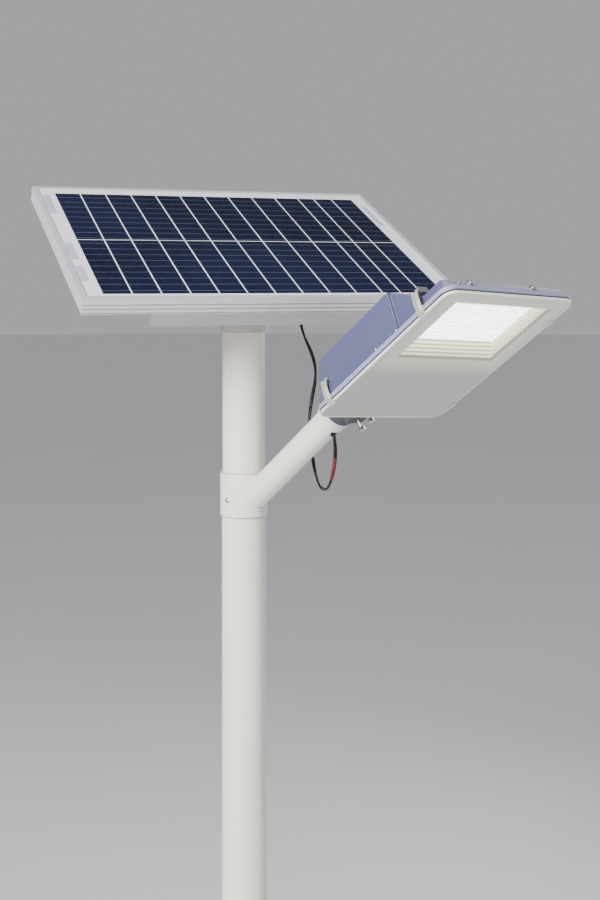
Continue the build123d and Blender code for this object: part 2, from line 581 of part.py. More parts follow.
# clips: a bent strap that turns on a pin in two ears and hooks under the cover's edge
brackets = []
pins = []
clip_pin_v = half_lw - CLIP_PIN_SIDE
clip_u = (CLIP_IN[0] - half_ll, half_ll - CLIP_IN[1])
bracket_root = half_lw - 18
bracket_out = CLIP_W / 2 + BRACKET_GAP + BRACKET_T
for v_side, side_name in ((-1, "left"), (1, "right")):
    for place, u in zip(("near", "far"), clip_u):
        pin = rod(CLIP_PIN_R, (u - CLIP_W / 2 - 3, v_side * clip_pin_v, CLIP_PIN_Z), CLIP_W + 6)
        pins.append(lamp_frame * pin)
        bracket = Part()
        bracket_z = (CLIP_PIN_Z - BRACKET_HALF, CLIP_PIN_Z + BRACKET_HALF)
        for ear_side in (-1, 1):
            edge = sorted((u + ear_side * (CLIP_W / 2 + BRACKET_GAP), u + ear_side * bracket_out))
            reach = sorted((v_side * bracket_root, v_side * (clip_pin_v + 2.8)))
            bracket += box_between(edge, reach, bracket_z)
        back = sorted((v_side * bracket_root, v_side * (clip_pin_v - 3.2)))
        bracket += box_between((u - bracket_out, u + bracket_out), back, bracket_z)
        bracket = bracket - pin - outside - inside
        brackets.extend(lamp_frame * solid for solid in bracket.solids())
        width = (u - CLIP_W / 2, u + CLIP_W / 2)
        outer_v = half_lw + 0.9
        hook_z = (-CLIP_CLEAR - CLIP_T, -CLIP_CLEAR)
        strap = box_between(width, (outer_v, outer_v + CLIP_T), (hook_z[0], CLIP_PIN_Z))
        strap += box_between(width, (half_lw - 5.5, outer_v + CLIP_T), hook_z)
        strap += rod(CLIP_PIN_R + CLIP_BORE + CLIP_T, (width[0], clip_pin_v, CLIP_PIN_Z), CLIP_W)
        strap -= rod(CLIP_PIN_R + CLIP_BORE, (width[0], clip_pin_v, CLIP_PIN_Z), CLIP_W)
        if v_side < 0:
            strap = mirror(strap, Plane.XZ)
        parts[f"clip_{side_name}_{place}"] = lamp_frame * strap
parts["clip_brackets"] = Compound(children=brackets)
parts["clip_pins"] = Compound(children=pins)

# housing screws on the far end wall and low on both sides
end_lean = math.degrees(math.atan2(half_ll - WALL_IN - far_edge, SHALLOW_Z - wall_z))
end_screws = []
for v, head_r in END_SCREWS:
    seat = Pos((half_ll - WALL_IN + far_edge) / 2, v, (wall_z + SHALLOW_Z) / 2) * Rot(0, 90 - end_lean, 0)
    housing -= seat * Pos(0, 0, -3) * Cylinder(head_r / 2, 8)
    end_screws.append(lamp_frame * seat * dome_screw(head_r, head_r * 0.65, head_r / 2, 3.4))
parts["end_screws"] = Compound(children=end_screws)
side_screws = []
side_lean = math.degrees(math.atan2(SIDE_LEAN, DEEP_Z - wall_z))
for v_side in (-1, 1):
    for distance in SIDE_SCREW_FROM_FAR:
        reach = half_lw - WALL_IN - 4 * math.tan(math.radians(side_lean))
        seat = Pos(half_ll - distance, v_side * reach, wall_z + 4) * Rot(-v_side * (90 - side_lean), 0, 0)
        housing -= seat * Pos(0, 0, -3) * Cylinder(1.6, 8)
        side_screws.append(lamp_frame * seat * dome_screw(2.8, 1.9, 1.6, 3.4))
parts["side_screws"] = Compound(children=side_screws)
parts["lamp_housing"] = lamp_frame * housing

# ---------------------------------------------------------------- lead
lead_radii = {}


def lead_piece(name, points):
    """A round tube along straight runs joined by the largest tangent arcs that they allow."""
    corners = [Vector(*p) for p in points]
    radii = []
    for before, here, after in zip(corners, corners[1:], corners[2:]):
        half_turn = math.radians((here - before).get_angle(after - here)) / 2
        shorter = min((here - before).length, (after - here).length)
        radii.append(0.45 * shorter / math.tan(half_turn))
    lead_radii[name] = [round(r) for r in radii]
    path = FilletPolyline(*points, radius=radii)
    start = Plane(origin=points[0], z_dir=corners[1] - corners[0])
    body = sweep(start * Circle(LEAD_R), path=path)
    share = body.volume / (math.pi * LEAD_R ** 2 * path.length)
    print(name, "length", round(path.length, 1), "volume share", round(share, 4), "radii", lead_radii[name])
    return body


parts["lead_top"] = lead_piece("lead_top", LEAD_TOP)
parts["lead_mid"] = lead_piece("lead_mid", LEAD_MID)
parts["lead_loop"] = lead_piece("lead_loop", LEAD_LOOP)

os.makedirs("parts", exist_ok=True)
for name, shape in parts.items():
    export_step(shape, f"parts/{name}.step")
print(len(parts), "parts written")
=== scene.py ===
"""Solar street lamp: camera, stage, leads, finishes and fine pieces round its fixed frame.
Metres, +Z up, origin on the pole's axis at the underside of the base plate."""
import math
from functools import reduce

import bmesh
import bpy
from bpy.props import FloatProperty, FloatVectorProperty, IntProperty, PointerProperty
from mathutils import Matrix, Vector


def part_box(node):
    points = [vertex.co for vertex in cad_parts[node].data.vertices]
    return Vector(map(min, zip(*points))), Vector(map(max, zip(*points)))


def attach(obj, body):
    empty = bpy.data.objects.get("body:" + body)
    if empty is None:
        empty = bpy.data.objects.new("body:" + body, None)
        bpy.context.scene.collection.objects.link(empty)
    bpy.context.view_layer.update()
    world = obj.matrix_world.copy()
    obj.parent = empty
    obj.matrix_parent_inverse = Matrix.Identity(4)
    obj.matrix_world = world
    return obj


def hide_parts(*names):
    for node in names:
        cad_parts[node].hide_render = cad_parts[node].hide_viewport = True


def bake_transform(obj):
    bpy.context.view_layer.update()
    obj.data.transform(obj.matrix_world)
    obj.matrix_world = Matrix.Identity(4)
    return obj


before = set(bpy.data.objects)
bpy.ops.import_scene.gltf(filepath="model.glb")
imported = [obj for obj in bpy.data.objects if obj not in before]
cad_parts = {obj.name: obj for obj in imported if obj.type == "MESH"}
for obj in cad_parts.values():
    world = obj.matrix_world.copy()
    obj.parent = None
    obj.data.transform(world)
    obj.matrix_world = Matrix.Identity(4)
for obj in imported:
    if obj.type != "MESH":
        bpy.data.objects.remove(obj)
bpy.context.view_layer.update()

bl_info = {
    "name": "Solar street lamp",
    "version": (1, 0, 0),
    "blender": (4, 5, 0),
    "location": "View3D > Sidebar > Street Lamp",
    "description": "Finishes, leads and fine pieces of a pole-mounted solar lamp",
    "category": "Object",
}

MM = 0.001


def srgb(*screen):
    """Screen colour values from 0 to 1 as linear light, with full alpha."""
    linear = [pow((c + 0.055) / 1.055, 2.4) if c > 0.04 else c / 12.92 for c in screen]
    return (*linear, 1.0)


def turn(angle, axis):
    """A turn in degrees about one axis."""
    return Matrix.Rotation(math.radians(angle), 4, axis)


def shift(x, y, z):
    """A move in millimetres."""
    return Matrix.Translation((x * MM, y * MM, z * MM))


def circle(count):
    """The cosine and sine of evenly spaced turns."""
    turns = [2 * math.pi * step / count for step in range(count)]
    return [(math.cos(angle), math.sin(angle)) for angle in turns]


# Places of the arm, the lamp head and the panel, in millimetres and degrees
ARM_JOINT_Z = 2200.0
ARM_HEADING = 17.22
ARM_RISE = 36.12
LAMP_ALONG = 587.7
LAMP_ROLL = -4.5
LAMP_DROP = 70.4
LAMP_PITCH = 2.16
PANEL_Y = 16.9
PANEL_Z = 2680.8
PANEL_TILT = 23.68
arm_frame = shift(0, 0, ARM_JOINT_Z) @ turn(ARM_HEADING - 90, "Z") @ turn(-ARM_RISE, "Y")
neck_frame = arm_frame @ shift(LAMP_ALONG, 0, 0) @ turn(LAMP_ROLL, "X")
# The lamp head's z runs from its glass to its back
lamp_frame = neck_frame @ shift(0, 0, -LAMP_DROP) @ turn(LAMP_PITCH, "Y")
panel_frame = shift(0, PANEL_Y, PANEL_Z) @ turn(PANEL_TILT, "X")

# Arm and base sizes, in millimetres
ARM_R = 23.2
ARM_MOUTH = 329.0
GUSSET_T = 9.0

# Lamp head sizes, in millimetres
LAMP_HALF_W = 123.0
COVER_HALF_L = 171.5
COVER_HALF_W = 122.0
LED_U = (37.0, 137.0)
LED_V = 74.0
LENS_MARGIN = 1.5
LENS_Z = 13.0
LIP_TOP_Z = 13.0
WINDOW_U = (5.0, 148.0)
WINDOW_V = 91.5
REFLECTOR_STEPS = 4.0

# Strap clip sizes, in millimetres
CLIP_U = {"near": -129.0, "far": 112.0}
CLIP_W = 14.0
CLIP_T = 1.2
CLIP_RIB_W = 6.0
CLIP_EYE_R = 2.8
CLIP_EDGE = 0.3
CLIP_PIN_V = 121.5
CLIP_PIN_Z = 38.0

# Cap nuts: the edge in millimetres, and how deep a screw's head is as a share of its half width
NUT_EDGE = 0.25
HEAD_DEPTH = 0.55

# Panel sizes, in millimetres
PANEL_HALF_L = 332.0
PANEL_HALF_W = 252.0
FRAME_SEAT = 2.8
RIB_Z = (-9.8, -17.1, -24.1)
GLASS_TOP = -1.8
GLASS_T = 3.2
CELL_LEFT = -295.5
CELL_ROWS = ((-230.5, -6.4), (-4.0, 220.1))
CELL_GAP = 2.4
CELL_SINK = 0.3
CELL_RISE = 0.06
CELL_COLUMNS = [48.0] * 10 + [33.6, 38.0, 44.0]
BUSBAR_PITCH = 24.6
# Blank labels on the white margins: centre and half size
LABELS = (
    ((-312.5, 165.0), (6.5, 46.0)), ((-312.5, -55.0), (6.5, 36.0)),
    ((-312.5, -150.0), (6.5, 30.0)), ((311.0, 130.0), (5.0, 50.0)),
)

# The lead in metres; a core's radius is a share of the lead's width
LEAD_WIDTH = 0.0064
CORE_SHARE = 0.345
# Its route: from the gland under the panel, down beside the pole, and up into the arm
LEAD_TOP = [
    (0.1060, 0.0, 2.5680), (0.1065, -0.0030, 2.5460), (0.1060, -0.0100, 2.5240),
    (0.1095, -0.0230, 2.5020), (0.1125, -0.0460, 2.4790), (0.1116, -0.0575, 2.4678),
]
LEAD_MID = [
    (0.1116, -0.0575, 2.4678), (0.1108, -0.0690, 2.4565), (0.1035, -0.0890, 2.4340),
    (0.0915, -0.1035, 2.4080), (0.08575, -0.1095, 2.3865),
]
LEAD_LOOP = [
    (0.08575, -0.1095, 2.3865), (0.0800, -0.1155, 2.3650), (0.0802, -0.1220, 2.3320),
    (0.0816, -0.1310, 2.3010), (0.0813, -0.1460, 2.2740), (0.0822, -0.1670, 2.2555),
    (0.0826, -0.1940, 2.2560), (0.0818, -0.2160, 2.2750), (0.0810, -0.2300, 2.2980),
    (0.0800, -0.2385, 2.3210), (0.0776, -0.2430, 2.3410), (0.0750, -0.2434, 2.3590),
]
NOT_BARED = (1.0, 1.0)
# Each length of lead: node, route, its two bodies, length, where its bend ends, bared stretch, its gland
LEADS = (
    ("lead_top", LEAD_TOP, ("panel", "turret"), 0.1195, LEAD_TOP[-1], NOT_BARED, ["lead_gland"]),
    ("lead_mid", LEAD_MID, ("turret", "pole"), 0.1020, LEAD_MID[-1], NOT_BARED, []),
    ("lead_loop", LEAD_LOOP, ("pole", "arm"), 0.2913, LEAD_LOOP[2], (0.203, 0.246), []),
)

# Camera and floor, in metres and degrees
CAMERA_PLACE = (-0.7404, -2.2535, 2.6121)
CAMERA_PITCH = 87.0
CAMERA_HEADING = -20.62
CAMERA_RISE = -0.114
SENSOR_WIDTH = 36.0
VIEW_DEPTH = 200.0
FLOOR_REACH = 60.0
FLOOR_SIDES = 96
# Each light: size, place and what it points at
LIGHTS = {
    "key": (2.0, (-3.7, -2.9, 4.5), (0.1, -0.2, 2.4)),
    "fill": (2.4, (3.6, -2.6, 2.2), (0.1, -0.3, 2.3)),
    "back": (2.0, (3.4, 2.6, 3.6), (0.0, 0.0, 2.4)),
}
SKY_COLOUR = (0.88, 0.89, 0.92, 1.0)

# The fixed pieces that wear each finish
WEARERS = {
    "ivory_paint": ("pole", "base_plate", "base_gussets", "arm_collar", "arm_tube", "arm_ring"),
    "zinc": ("top_sleeve", "tilt_ears", "tilt_lugs", "arm_spigot"),
    "fixing_steel": ("sleeve_screws", "collar_screws", "tilt_bolt", "tilt_nut", "box_screws",
                     "clamp_screws", "end_screws", "side_screws", "clip_pins", "clip_brackets"),
    "rail_metal": ("frame_front", "frame_back"),
    "side_rail_metal": ("frame_left", "frame_right"),
    "mill_aluminium": ("support_rails", "heat_plate", "gear_tray"),
    "white_sheet": ("panel_backsheet",),
    "box_paint": ("mount_box", "mount_box_end_left", "mount_box_end_right"),
    "black_plastic": ("junction_box", "junction_lid", "lead_gland", "battery_holder", "charge_controller"),
    "seal_rubber": ("lamp_gasket", "lead_grommet"),
    "head_paint": ("lamp_housing",),
    "socket_paint": ("lamp_socket",),
    "lamp_glass": ("lamp_cover",),
    "reflector_plastic": ("lamp_reflector",),
    "board_mask": ("led_board",),
    "lens_plate": ("led_lens_plate",),
    "cell_sleeve": ("battery_cells",),
}


def length_setting(name, description, default):
    """A length that a user can change, in metres."""
    return FloatProperty(name=name, description=description, default=default, unit="LENGTH")


def power_setting(name, default):
    """A light's power that a user can change, in watts."""
    return FloatProperty(
        name=name, description=f"Power of the {name.lower()}", default=default, unit="POWER")


def colour_setting(name, description, *screen):
    """A colour that a user can change, given in screen values."""
    return FloatVectorProperty(
        name=name, description=description, subtype="COLOR", size=4, default=srgb(*screen), min=0, max=1)


class LampSizes(bpy.types.PropertyGroup):
    """Sizes of the fine pieces."""
    lens_columns: IntProperty(
        name="Lens columns", description="Lenses along the lamp head", default=11, min=2)
    lens_rows: IntProperty(
        name="Lens rows", description="Lenses across the lamp head", default=16, min=2)
    lens_radius: length_setting("Lens radius", "Radius of one LED lens", 0.0039)
    bead_radius: length_setting("Weld bead radius", "Radius of one ripple of a weld", 0.0036)
    lead_turn: length_setting("Lead turn length", "Length of lead in one turn of its two cores", 0.19)


class LampColours(bpy.types.PropertyGroup):
    """Colours of the finishes."""
    ivory: colour_setting("Pole", "Powder coat of the pole and arm", 0.94, 0.918, 0.875)
    head: colour_setting("Lamp head", "Powder coat of the lamp head", 0.32, 0.33, 0.455)
    # The socket's dark grey is partly painted shade for its downward face.
    socket: colour_setting("Socket", "Coating of the lamp head's socket", 0.22, 0.23, 0.27)
    box: colour_setting("Mounting box", "Powder coat of the box under the panel", 0.86, 0.83, 0.84)
    cell: colour_setting("Solar cell", "Blue of the silicon cells", 0.024, 0.032, 0.115)
    print_border: colour_setting("Glass border", "Print behind the lamp glass", 0.67, 0.68, 0.635)
    reflector: colour_setting("Reflector", "Plastic of the stepped reflector", 0.93, 0.91, 0.82)


class StudioSettings(bpy.types.PropertyGroup):
    """Light and lens."""
    key_power: power_setting("Key light", 640.0)
    fill_power: power_setting("Fill light", 14.0)
    back_power: power_setting("Back light", 70.0)
    sky_strength: FloatProperty(
        name="Sky", description="Strength of the even sky light", default=0.48, min=0)
    focal_length: FloatProperty(
        name="Focal length", description="Lens in millimetres", default=53.24, min=1)


def fill(mesh, vertices, faces):
    """Puts vertices and faces in a mesh."""
    mesh.from_pydata([tuple(v) for v in vertices], [], faces)
    mesh.update()
    return mesh


def piece(name, mesh, material=None, smooth=False):
    """An object at the origin that shows a mesh."""
    made = bpy.data.objects.new(name, mesh)
    bpy.context.scene.collection.objects.link(made)
    if material is not None:
        mesh.materials.clear()
        mesh.materials.append(material)
    for face in mesh.polygons:
        face.use_smooth = smooth
    return made


def apply_modifiers(made):
    """Turns an object's evaluated shape into its plain mesh."""
    graph = bpy.context.evaluated_depsgraph_get()
    flat = bpy.data.meshes.new_from_object(made.evaluated_get(graph), depsgraph=graph)
    made.modifiers.clear()
    made.data = flat
    return made


def bevelled(made, width, segments=2):
    """Rounds a piece's sharp edges."""
    rounding = made.modifiers.new("rounding", "BEVEL")
    rounding.width = width
    rounding.segments = segments
    rounding.limit_method = "ANGLE"
    rounding.angle_limit = math.radians(35)
    return apply_modifiers(made)


def dress(material, *names):
    """Gives CAD nodes a finish."""
    for name in names:
        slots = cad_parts[name].data.materials
        slots.clear()
        slots.append(material)


# ---------------------------------------------------------------- shader building
class Sheet:
    """A node tree that nodes are added to."""

    def __init__(self, tree):
        self.tree = tree

    def add(self, kind, inputs=None, **settings):
        """A new node with its inputs fed and its settings set."""
        made = self.tree.nodes.new(kind)
        for key, value in settings.items():
            setattr(made, key, value)
        for key, value in (inputs or {}).items():
            self.feed(made.inputs[key], value)
        return made

    def feed(self, socket, value):
        """Links an output to a socket, or sets the socket's value."""
        if isinstance(value, bpy.types.NodeSocket):
            self.tree.links.new(value, socket)
        else:
            socket.default_value = value

    def maths(self, operation, *values):
        """The result of one sum."""
        made = self.add("ShaderNodeMath", operation=operation)
        for socket, value in zip(made.inputs, values):
            self.feed(socket, value)
        return made.outputs[0]

    def fold(self, operation, values):
        """One value from many, taken two at a time."""
        return reduce(lambda first, second: self.maths(operation, first, second), values)

    def off(self, value, centre):
        """How far a value lies from a centre, to either side."""
        return self.maths("ABSOLUTE", self.maths("SUBTRACT", value, centre))

    def axes(self, place):
        """The x, y and z of a place."""
        return self.add("ShaderNodeSeparateXYZ", {0: place}).outputs

    def mix(self, share, first, second, blend="MIX"):
        """A colour between two colours."""
        made = self.add("ShaderNodeMix", data_type="RGBA", blend_type=blend)
        for index, value in ((0, share), (6, first), (7, second)):
            self.feed(made.inputs[index], value)
        return made.outputs[2]

    def spread(self, value, low, high, to_low, to_high):
        """A value eased from one range to another."""
        made = self.add("ShaderNodeMapRange", interpolation_type="SMOOTHSTEP")
        for socket, number in zip(made.inputs, (value, low, high, to_low, to_high)):
            self.feed(socket, number)
        return made.outputs[0]

    def noise(self, place, scale, detail=3.0, roughness=0.55):
        """A cloudy value from 0 to 1."""
        return self.add("ShaderNodeTexNoise", {
            "Vector": place, "Scale": scale, "Detail": detail, "Roughness": roughness}).outputs[0]

    def bump(self, strength, distance, height, **normal):
        """The normal of a surface with fine relief."""
        return self.add("ShaderNodeBump", {
            "Strength": strength, "Distance": distance, "Height": height, **normal}).outputs[0]

    def group(self, tree, **inputs):
        """The outputs of a shader group placed with its own values."""
        made = self.add("ShaderNodeGroup", node_tree=tree)
        for key, value in inputs.items():
            self.feed(made.inputs[key.replace("_", " ")], value)
        return made.outputs


def in_frame(sheet, place, matrix, stretch=(1.0, 1.0, 1.0)):
    """Object coordinates measured in a turned frame, stretched along its axes."""
    turned = sheet.add("ShaderNodeMapping", {
        "Vector": place, "Location": matrix.translation[:], "Rotation": matrix.to_euler("XYZ")[:]},
        vector_type="TEXTURE")
    scaled = sheet.add("ShaderNodeMapping", {"Vector": turned.outputs[0], "Scale": stretch})
    return scaled.outputs[0]


def effect(name, inputs):
    """An empty shader group that puts out a surface's colour, roughness and normal, and its sheet."""
    tree = bpy.data.node_groups.new(name, "ShaderNodeTree")
    kinds = {"v": "NodeSocketVector", "f": "NodeSocketFloat", "c": "NodeSocketColor"}
    for label, kind in inputs:
        tree.interface.new_socket(name=label, in_out="INPUT", socket_type=kinds[kind])
    for label, kind in (("Colour", "c"), ("Roughness", "f"), ("Normal", "v")):
        tree.interface.new_socket(name=label, in_out="OUTPUT", socket_type=kinds[kind])
    sheet = Sheet(tree)
    source = sheet.add("NodeGroupInput").outputs
    sink = sheet.add("NodeGroupOutput").inputs
    return tree, sheet, source, sink


def powder_coat_effect():
    """Orange-peel grain, soft edges, slight shade changes, edge wear and dust on upward faces; where the edge
    colour is lighter than the coat, the edge wear is also a painted highlight.
    """
    tree, sheet, source, sink = effect(
        "powder_coat",
        [("Place", "v"), ("Colour", "c"), ("Rubbed", "c"), ("Dust", "f"), ("Grain", "f"), ("Edge", "f"),
         ("Gloss", "f")])
    place = source["Place"]
    soft = sheet.add("ShaderNodeBevel", {"Radius": source["Edge"]}, samples=4).outputs[0]
    facing = sheet.add("ShaderNodeNewGeometry").outputs["Normal"]
    agree = sheet.add("ShaderNodeVectorMath", {0: soft, 1: facing}, operation="DOT_PRODUCT").outputs["Value"]
    cloud = sheet.noise(place, 7.0, 4.0)
    patch = sheet.noise(place, 60.0, 5.0, 0.65)
    # Edges found from the bevel normal, in patches: wear, and where the edge colour is lighter than the coat,
    # as on the lamp head, also a painted highlight along the edges.
    edge = sheet.spread(agree, 0.995, 0.93, 0.0, 1.0)
    edge_wear_and_highlight = sheet.maths("MULTIPLY", edge, sheet.spread(patch, 0.40, 0.62, 0.15, 0.75))
    shade = sheet.mix(sheet.spread(cloud, 0.3, 0.7, 0.0, 0.22), source["Colour"], (0.30, 0.29, 0.27, 1.0),
                      "SOFT_LIGHT")
    upward = sheet.axes(facing)[2]
    settled = sheet.maths("MULTIPLY", sheet.spread(upward, 0.2, 0.95, 0.0, 1.0),
                          sheet.spread(patch, 0.35, 0.7, 0.3, 1.0))
    specks = sheet.spread(sheet.noise(place, 210.0, 2.0), 0.66, 0.74, 0.0, 0.35)
    dusty = sheet.maths("MULTIPLY", sheet.maths("ADD", settled, specks), source["Dust"])
    wear_and_highlight = sheet.mix(edge_wear_and_highlight, shade, source["Rubbed"])
    sheet.feed(sink["Colour"], sheet.mix(dusty, wear_and_highlight, (0.42, 0.38, 0.32, 1.0)))
    rough = sheet.maths("ADD", source["Gloss"], sheet.spread(patch, 0.3, 0.7, -0.05, 0.08))
    sheet.feed(sink["Roughness"], sheet.maths("ADD", rough, sheet.maths("MULTIPLY", dusty, 0.3)))
    peel = sheet.maths("MULTIPLY", sheet.noise(place, 420.0, 2.0), source["Grain"])
    sheet.feed(sink["Normal"], sheet.bump(0.6, 0.0012, peel, Normal=soft))
    return tree


def metal_grain_effect():
    """Fine lines, cloudy tone, softened edges and a little tarnish on bare metal."""
    tree, sheet, source, sink = effect(
        "metal_grain",
        [("Place", "v"), ("Lines", "v"), ("Colour", "c"), ("Tarnish", "f"), ("Gloss", "f"), ("Edge", "f")])
    soft = sheet.add("ShaderNodeBevel", {"Radius": source["Edge"]}, samples=4).outputs[0]
    lines = sheet.noise(source["Lines"], 900.0, 3.0, 0.7)
    cloud = sheet.noise(source["Place"], 45.0, 4.0, 0.6)
    stained = sheet.maths("MULTIPLY", sheet.spread(cloud, 0.45, 0.75, 0.0, 1.0), source["Tarnish"])
    streaked = sheet.mix(sheet.spread(lines, 0.3, 0.7, 0.0, 0.28), source["Colour"], (0.30, 0.30, 0.31, 1.0))
    sheet.feed(sink["Colour"], sheet.mix(stained, streaked, (0.33, 0.29, 0.25, 1.0)))
    rough = sheet.maths("ADD", source["Gloss"], sheet.spread(lines, 0.3, 0.7, -0.06, 0.10))
    sheet.feed(sink["Roughness"], sheet.maths("ADD", rough, sheet.maths("MULTIPLY", stained, 0.3)))
    sheet.feed(sink["Normal"], sheet.bump(0.25, 0.0004, lines, Normal=soft))
    return tree


def moulded_effect():
    """Fine texture and handling marks of moulded plastic or rubber."""
    tree, sheet, source, sink = effect(
        "moulded", [("Place", "v"), ("Colour", "c"), ("Gloss", "f"), ("Grain", "f")])
    fine = sheet.noise(source["Place"], 1400.0, 2.0)
    marks = sheet.noise(source["Place"], 55.0, 4.0, 0.65)
    handled = sheet.spread(marks, 0.4, 0.75, 0.0, 0.25)
    sheet.feed(sink["Colour"], sheet.mix(handled, source["Colour"], (0.35, 0.34, 0.32, 1.0), "SOFT_LIGHT"))
    uneven = sheet.spread(marks, 0.3, 0.7, -0.06, 0.1)
    sheet.feed(sink["Roughness"], sheet.maths("ADD", source["Gloss"], uneven))
    sheet.feed(sink["Normal"], sheet.bump(0.4, 0.0004, sheet.maths("MULTIPLY", fine, source["Grain"])))
    return tree


effects = {}
finishes = {}


def shader(name, **fixed):
    """A new finish with one Principled shader; fixed values go on the shader's own sockets."""
    material = bpy.data.materials.new(name)
    material.use_nodes = True
    material.node_tree.nodes.clear()
    finishes[name] = material
    sheet = Sheet(material.node_tree)
    values = {key.replace("_", " "): value for key, value in fixed.items()}
    surface = sheet.add("ShaderNodeBsdfPrincipled", values)
    sheet.add("ShaderNodeOutputMaterial", {"Surface": surface.outputs[0]})
    place = sheet.add("ShaderNodeTexCoord").outputs["Object"]
    return sheet, surface.inputs, place


def wire(sheet, surface, outputs):
    """Joins an effect's colour, roughness and normal to a shader, and gives back the colour to paint on."""
    for label, socket in (("Colour", "Base Color"), ("Roughness", "Roughness"), ("Normal", "Normal")):
        sheet.feed(surface[socket], outputs[label])
    return outputs["Colour"]


def powder(name, colour, wear_and_highlight, dust=0.10, grain=1.0, edge=0.0012, gloss=0.36, lacquer=0.12):
    """A powder-coated metal."""
    sheet, surface, place = shader(
        name, Specular_IOR_Level=0.5, Coat_Weight=lacquer, Coat_Roughness=0.2)
    coat = wire(sheet, surface, sheet.group(
        effects["powder"], Place=place, Colour=colour, Rubbed=wear_and_highlight, Dust=dust, Grain=grain, Edge=edge,
        Gloss=gloss))
    return sheet, surface, place, coat


def metal(name, colour, gloss, tarnish=0.15, matrix=Matrix.Identity(4), stretch=(1.0, 1.0, 0.03),
          edge=0.0006, shine=1.0):
    """A metal with its grain along one axis of a frame; less shine gives an anodised or zinc face."""
    sheet, surface, place = shader(name, Metallic=shine)
    bare = wire(sheet, surface, sheet.group(
        effects["metal"], Place=place, Lines=in_frame(sheet, place, matrix, stretch), Colour=colour,
        Tarnish=tarnish, Gloss=gloss, Edge=edge))
    return sheet, surface, place, bare


def plastic(name, colour, gloss, grain=0.6, **fixed):
    """A moulded plastic or rubber."""
    sheet, surface, place = shader(name, **fixed)
    wire(sheet, surface, sheet.group(
        effects["moulded"], Place=place, Colour=colour, Gloss=gloss, Grain=grain))
    return sheet, surface, place


def rail_finish(name, stretch):
    """Satin anodised rail with painted shade along the underside of its three ribs."""
    sheet, surface, place, bare = metal(
        name, srgb(0.86, 0.85, 0.87), 0.40, 0.05, panel_frame, stretch, edge=0.0003, shine=0.4)
    depth = sheet.axes(in_frame(sheet, place, panel_frame))[2]
    # Painted shade: a dark band just below each rib, made patchy by noise, stands in for the shade the rib
    # casts on the rail's face.
    below = 1.9
    bands = [sheet.spread(sheet.off(depth, (rib - below) * MM), 1.3 * MM, 0.7 * MM, 0.0, 0.7)
             for rib in RIB_Z]
    patches = sheet.spread(sheet.noise(place, 40.0, 3.0), 0.3, 0.7, 0.7, 1.0)
    painted_shade = sheet.maths("MULTIPLY", sheet.fold("MAXIMUM", bands), patches)
    # The painted shade under the ribs, mixed over the bare metal in a near black.
    sheet.feed(surface["Base Color"], sheet.mix(painted_shade, bare, (0.16, 0.15, 0.15, 1.0)))


def repeat_lines(sheet, value, pitch, width, blur):
    """A mask of lines at a regular pitch."""
    across = sheet.maths("PINGPONG", value, pitch / 2)
    return sheet.spread(across, width / 2 + blur, width / 2, 0.0, 1.0)


def cell_finish(colour):
    """Blue silicon under glass: crystal flakes, hairline fingers and pale ribbons."""
    sheet, surface, place = shader(
        "cell", Coat_Weight=0.2, Coat_Roughness=0.04, Coat_IOR=1.4, Specular_IOR_Level=0.0)
    local = in_frame(sheet, place, panel_frame)
    flakes = sheet.add("ShaderNodeTexVoronoi", {"Vector": local, "Scale": 130.0, "Randomness": 1.0})
    tone = sheet.add("ShaderNodeSeparateColor", {0: flakes.outputs["Color"]}).outputs[0]
    brighter = [min(c * 1.7 + 0.002, 1.0) for c in colour[:3]]
    crystal = sheet.mix(tone, colour, (*brighter, 1.0))
    cloud = sheet.noise(local, 2.2, 2.0)
    hazy = sheet.mix(sheet.spread(cloud, 0.35, 0.7, 0.0, 0.35), crystal, (0.010, 0.016, 0.060, 1.0))
    axes = sheet.axes(local)
    fingers = repeat_lines(sheet, axes[0], 2.0 * MM, 0.12 * MM, 0.1 * MM)
    lined = sheet.mix(sheet.maths("MULTIPLY", fingers, 0.06), hazy, (0.30, 0.35, 0.50, 1.0))
    row = sheet.maths("SUBTRACT", axes[1], (CELL_ROWS[0][0] + BUSBAR_PITCH / 2) * MM)
    ribbons = repeat_lines(sheet, row, BUSBAR_PITCH * MM, 0.9 * MM, 0.2 * MM)
    tinned = sheet.maths("MULTIPLY", ribbons, 0.30)
    sheet.feed(surface["Base Color"], sheet.mix(tinned, lined, (0.36, 0.40, 0.54, 1.0)))
    sheet.feed(surface["Roughness"], sheet.spread(tone, 0.0, 1.0, 0.30, 0.45))
    height = sheet.maths("ADD", ribbons, sheet.maths("MULTIPLY", tone, 0.1))
    sheet.feed(surface["Normal"], sheet.bump(0.3, 0.0003, height))


def laminate_finish():
    """The white sheet seen through the panel's glass round and between the cells."""
    sheet, surface, place = shader(
        "laminate", Coat_Weight=0.35, Coat_Roughness=0.05, Coat_IOR=1.4, Specular_IOR_Level=0.1)
    cloud = sheet.noise(place, 22.0, 4.0)
    specks = sheet.spread(sheet.noise(place, 500.0, 1.0), 0.70, 0.76, 0.0, 0.3)
    white = sheet.mix(sheet.spread(cloud, 0.3, 0.7, 0.0, 0.5), (0.78, 0.79, 0.82, 1), (0.70, 0.71, 0.75, 1))
    axes = sheet.axes(in_frame(sheet, place, panel_frame))
    bars = repeat_lines(sheet, axes[1], 4.2 * MM, 2.2 * MM, 0.4 * MM)
    patches = []
    for centre, half in LABELS:
        within = [sheet.maths("LESS_THAN", sheet.off(axes[axis], centre[axis] * MM), half[axis] * MM)
                  for axis in (0, 1)]
        patches.append(sheet.maths("MULTIPLY", *within))
    inked = sheet.maths("ADD", sheet.maths("MULTIPLY", bars, 0.40), 0.30)
    marks = sheet.maths("MULTIPLY", sheet.fold("MAXIMUM", patches), inked)
    white = sheet.mix(marks, white, (0.16, 0.20, 0.40, 1.0))
    sheet.feed(surface["Base Color"], sheet.mix(specks, white, (0.5, 0.48, 0.44, 1.0)))
    sheet.feed(surface["Roughness"], sheet.spread(cloud, 0.3, 0.7, 0.35, 0.5))


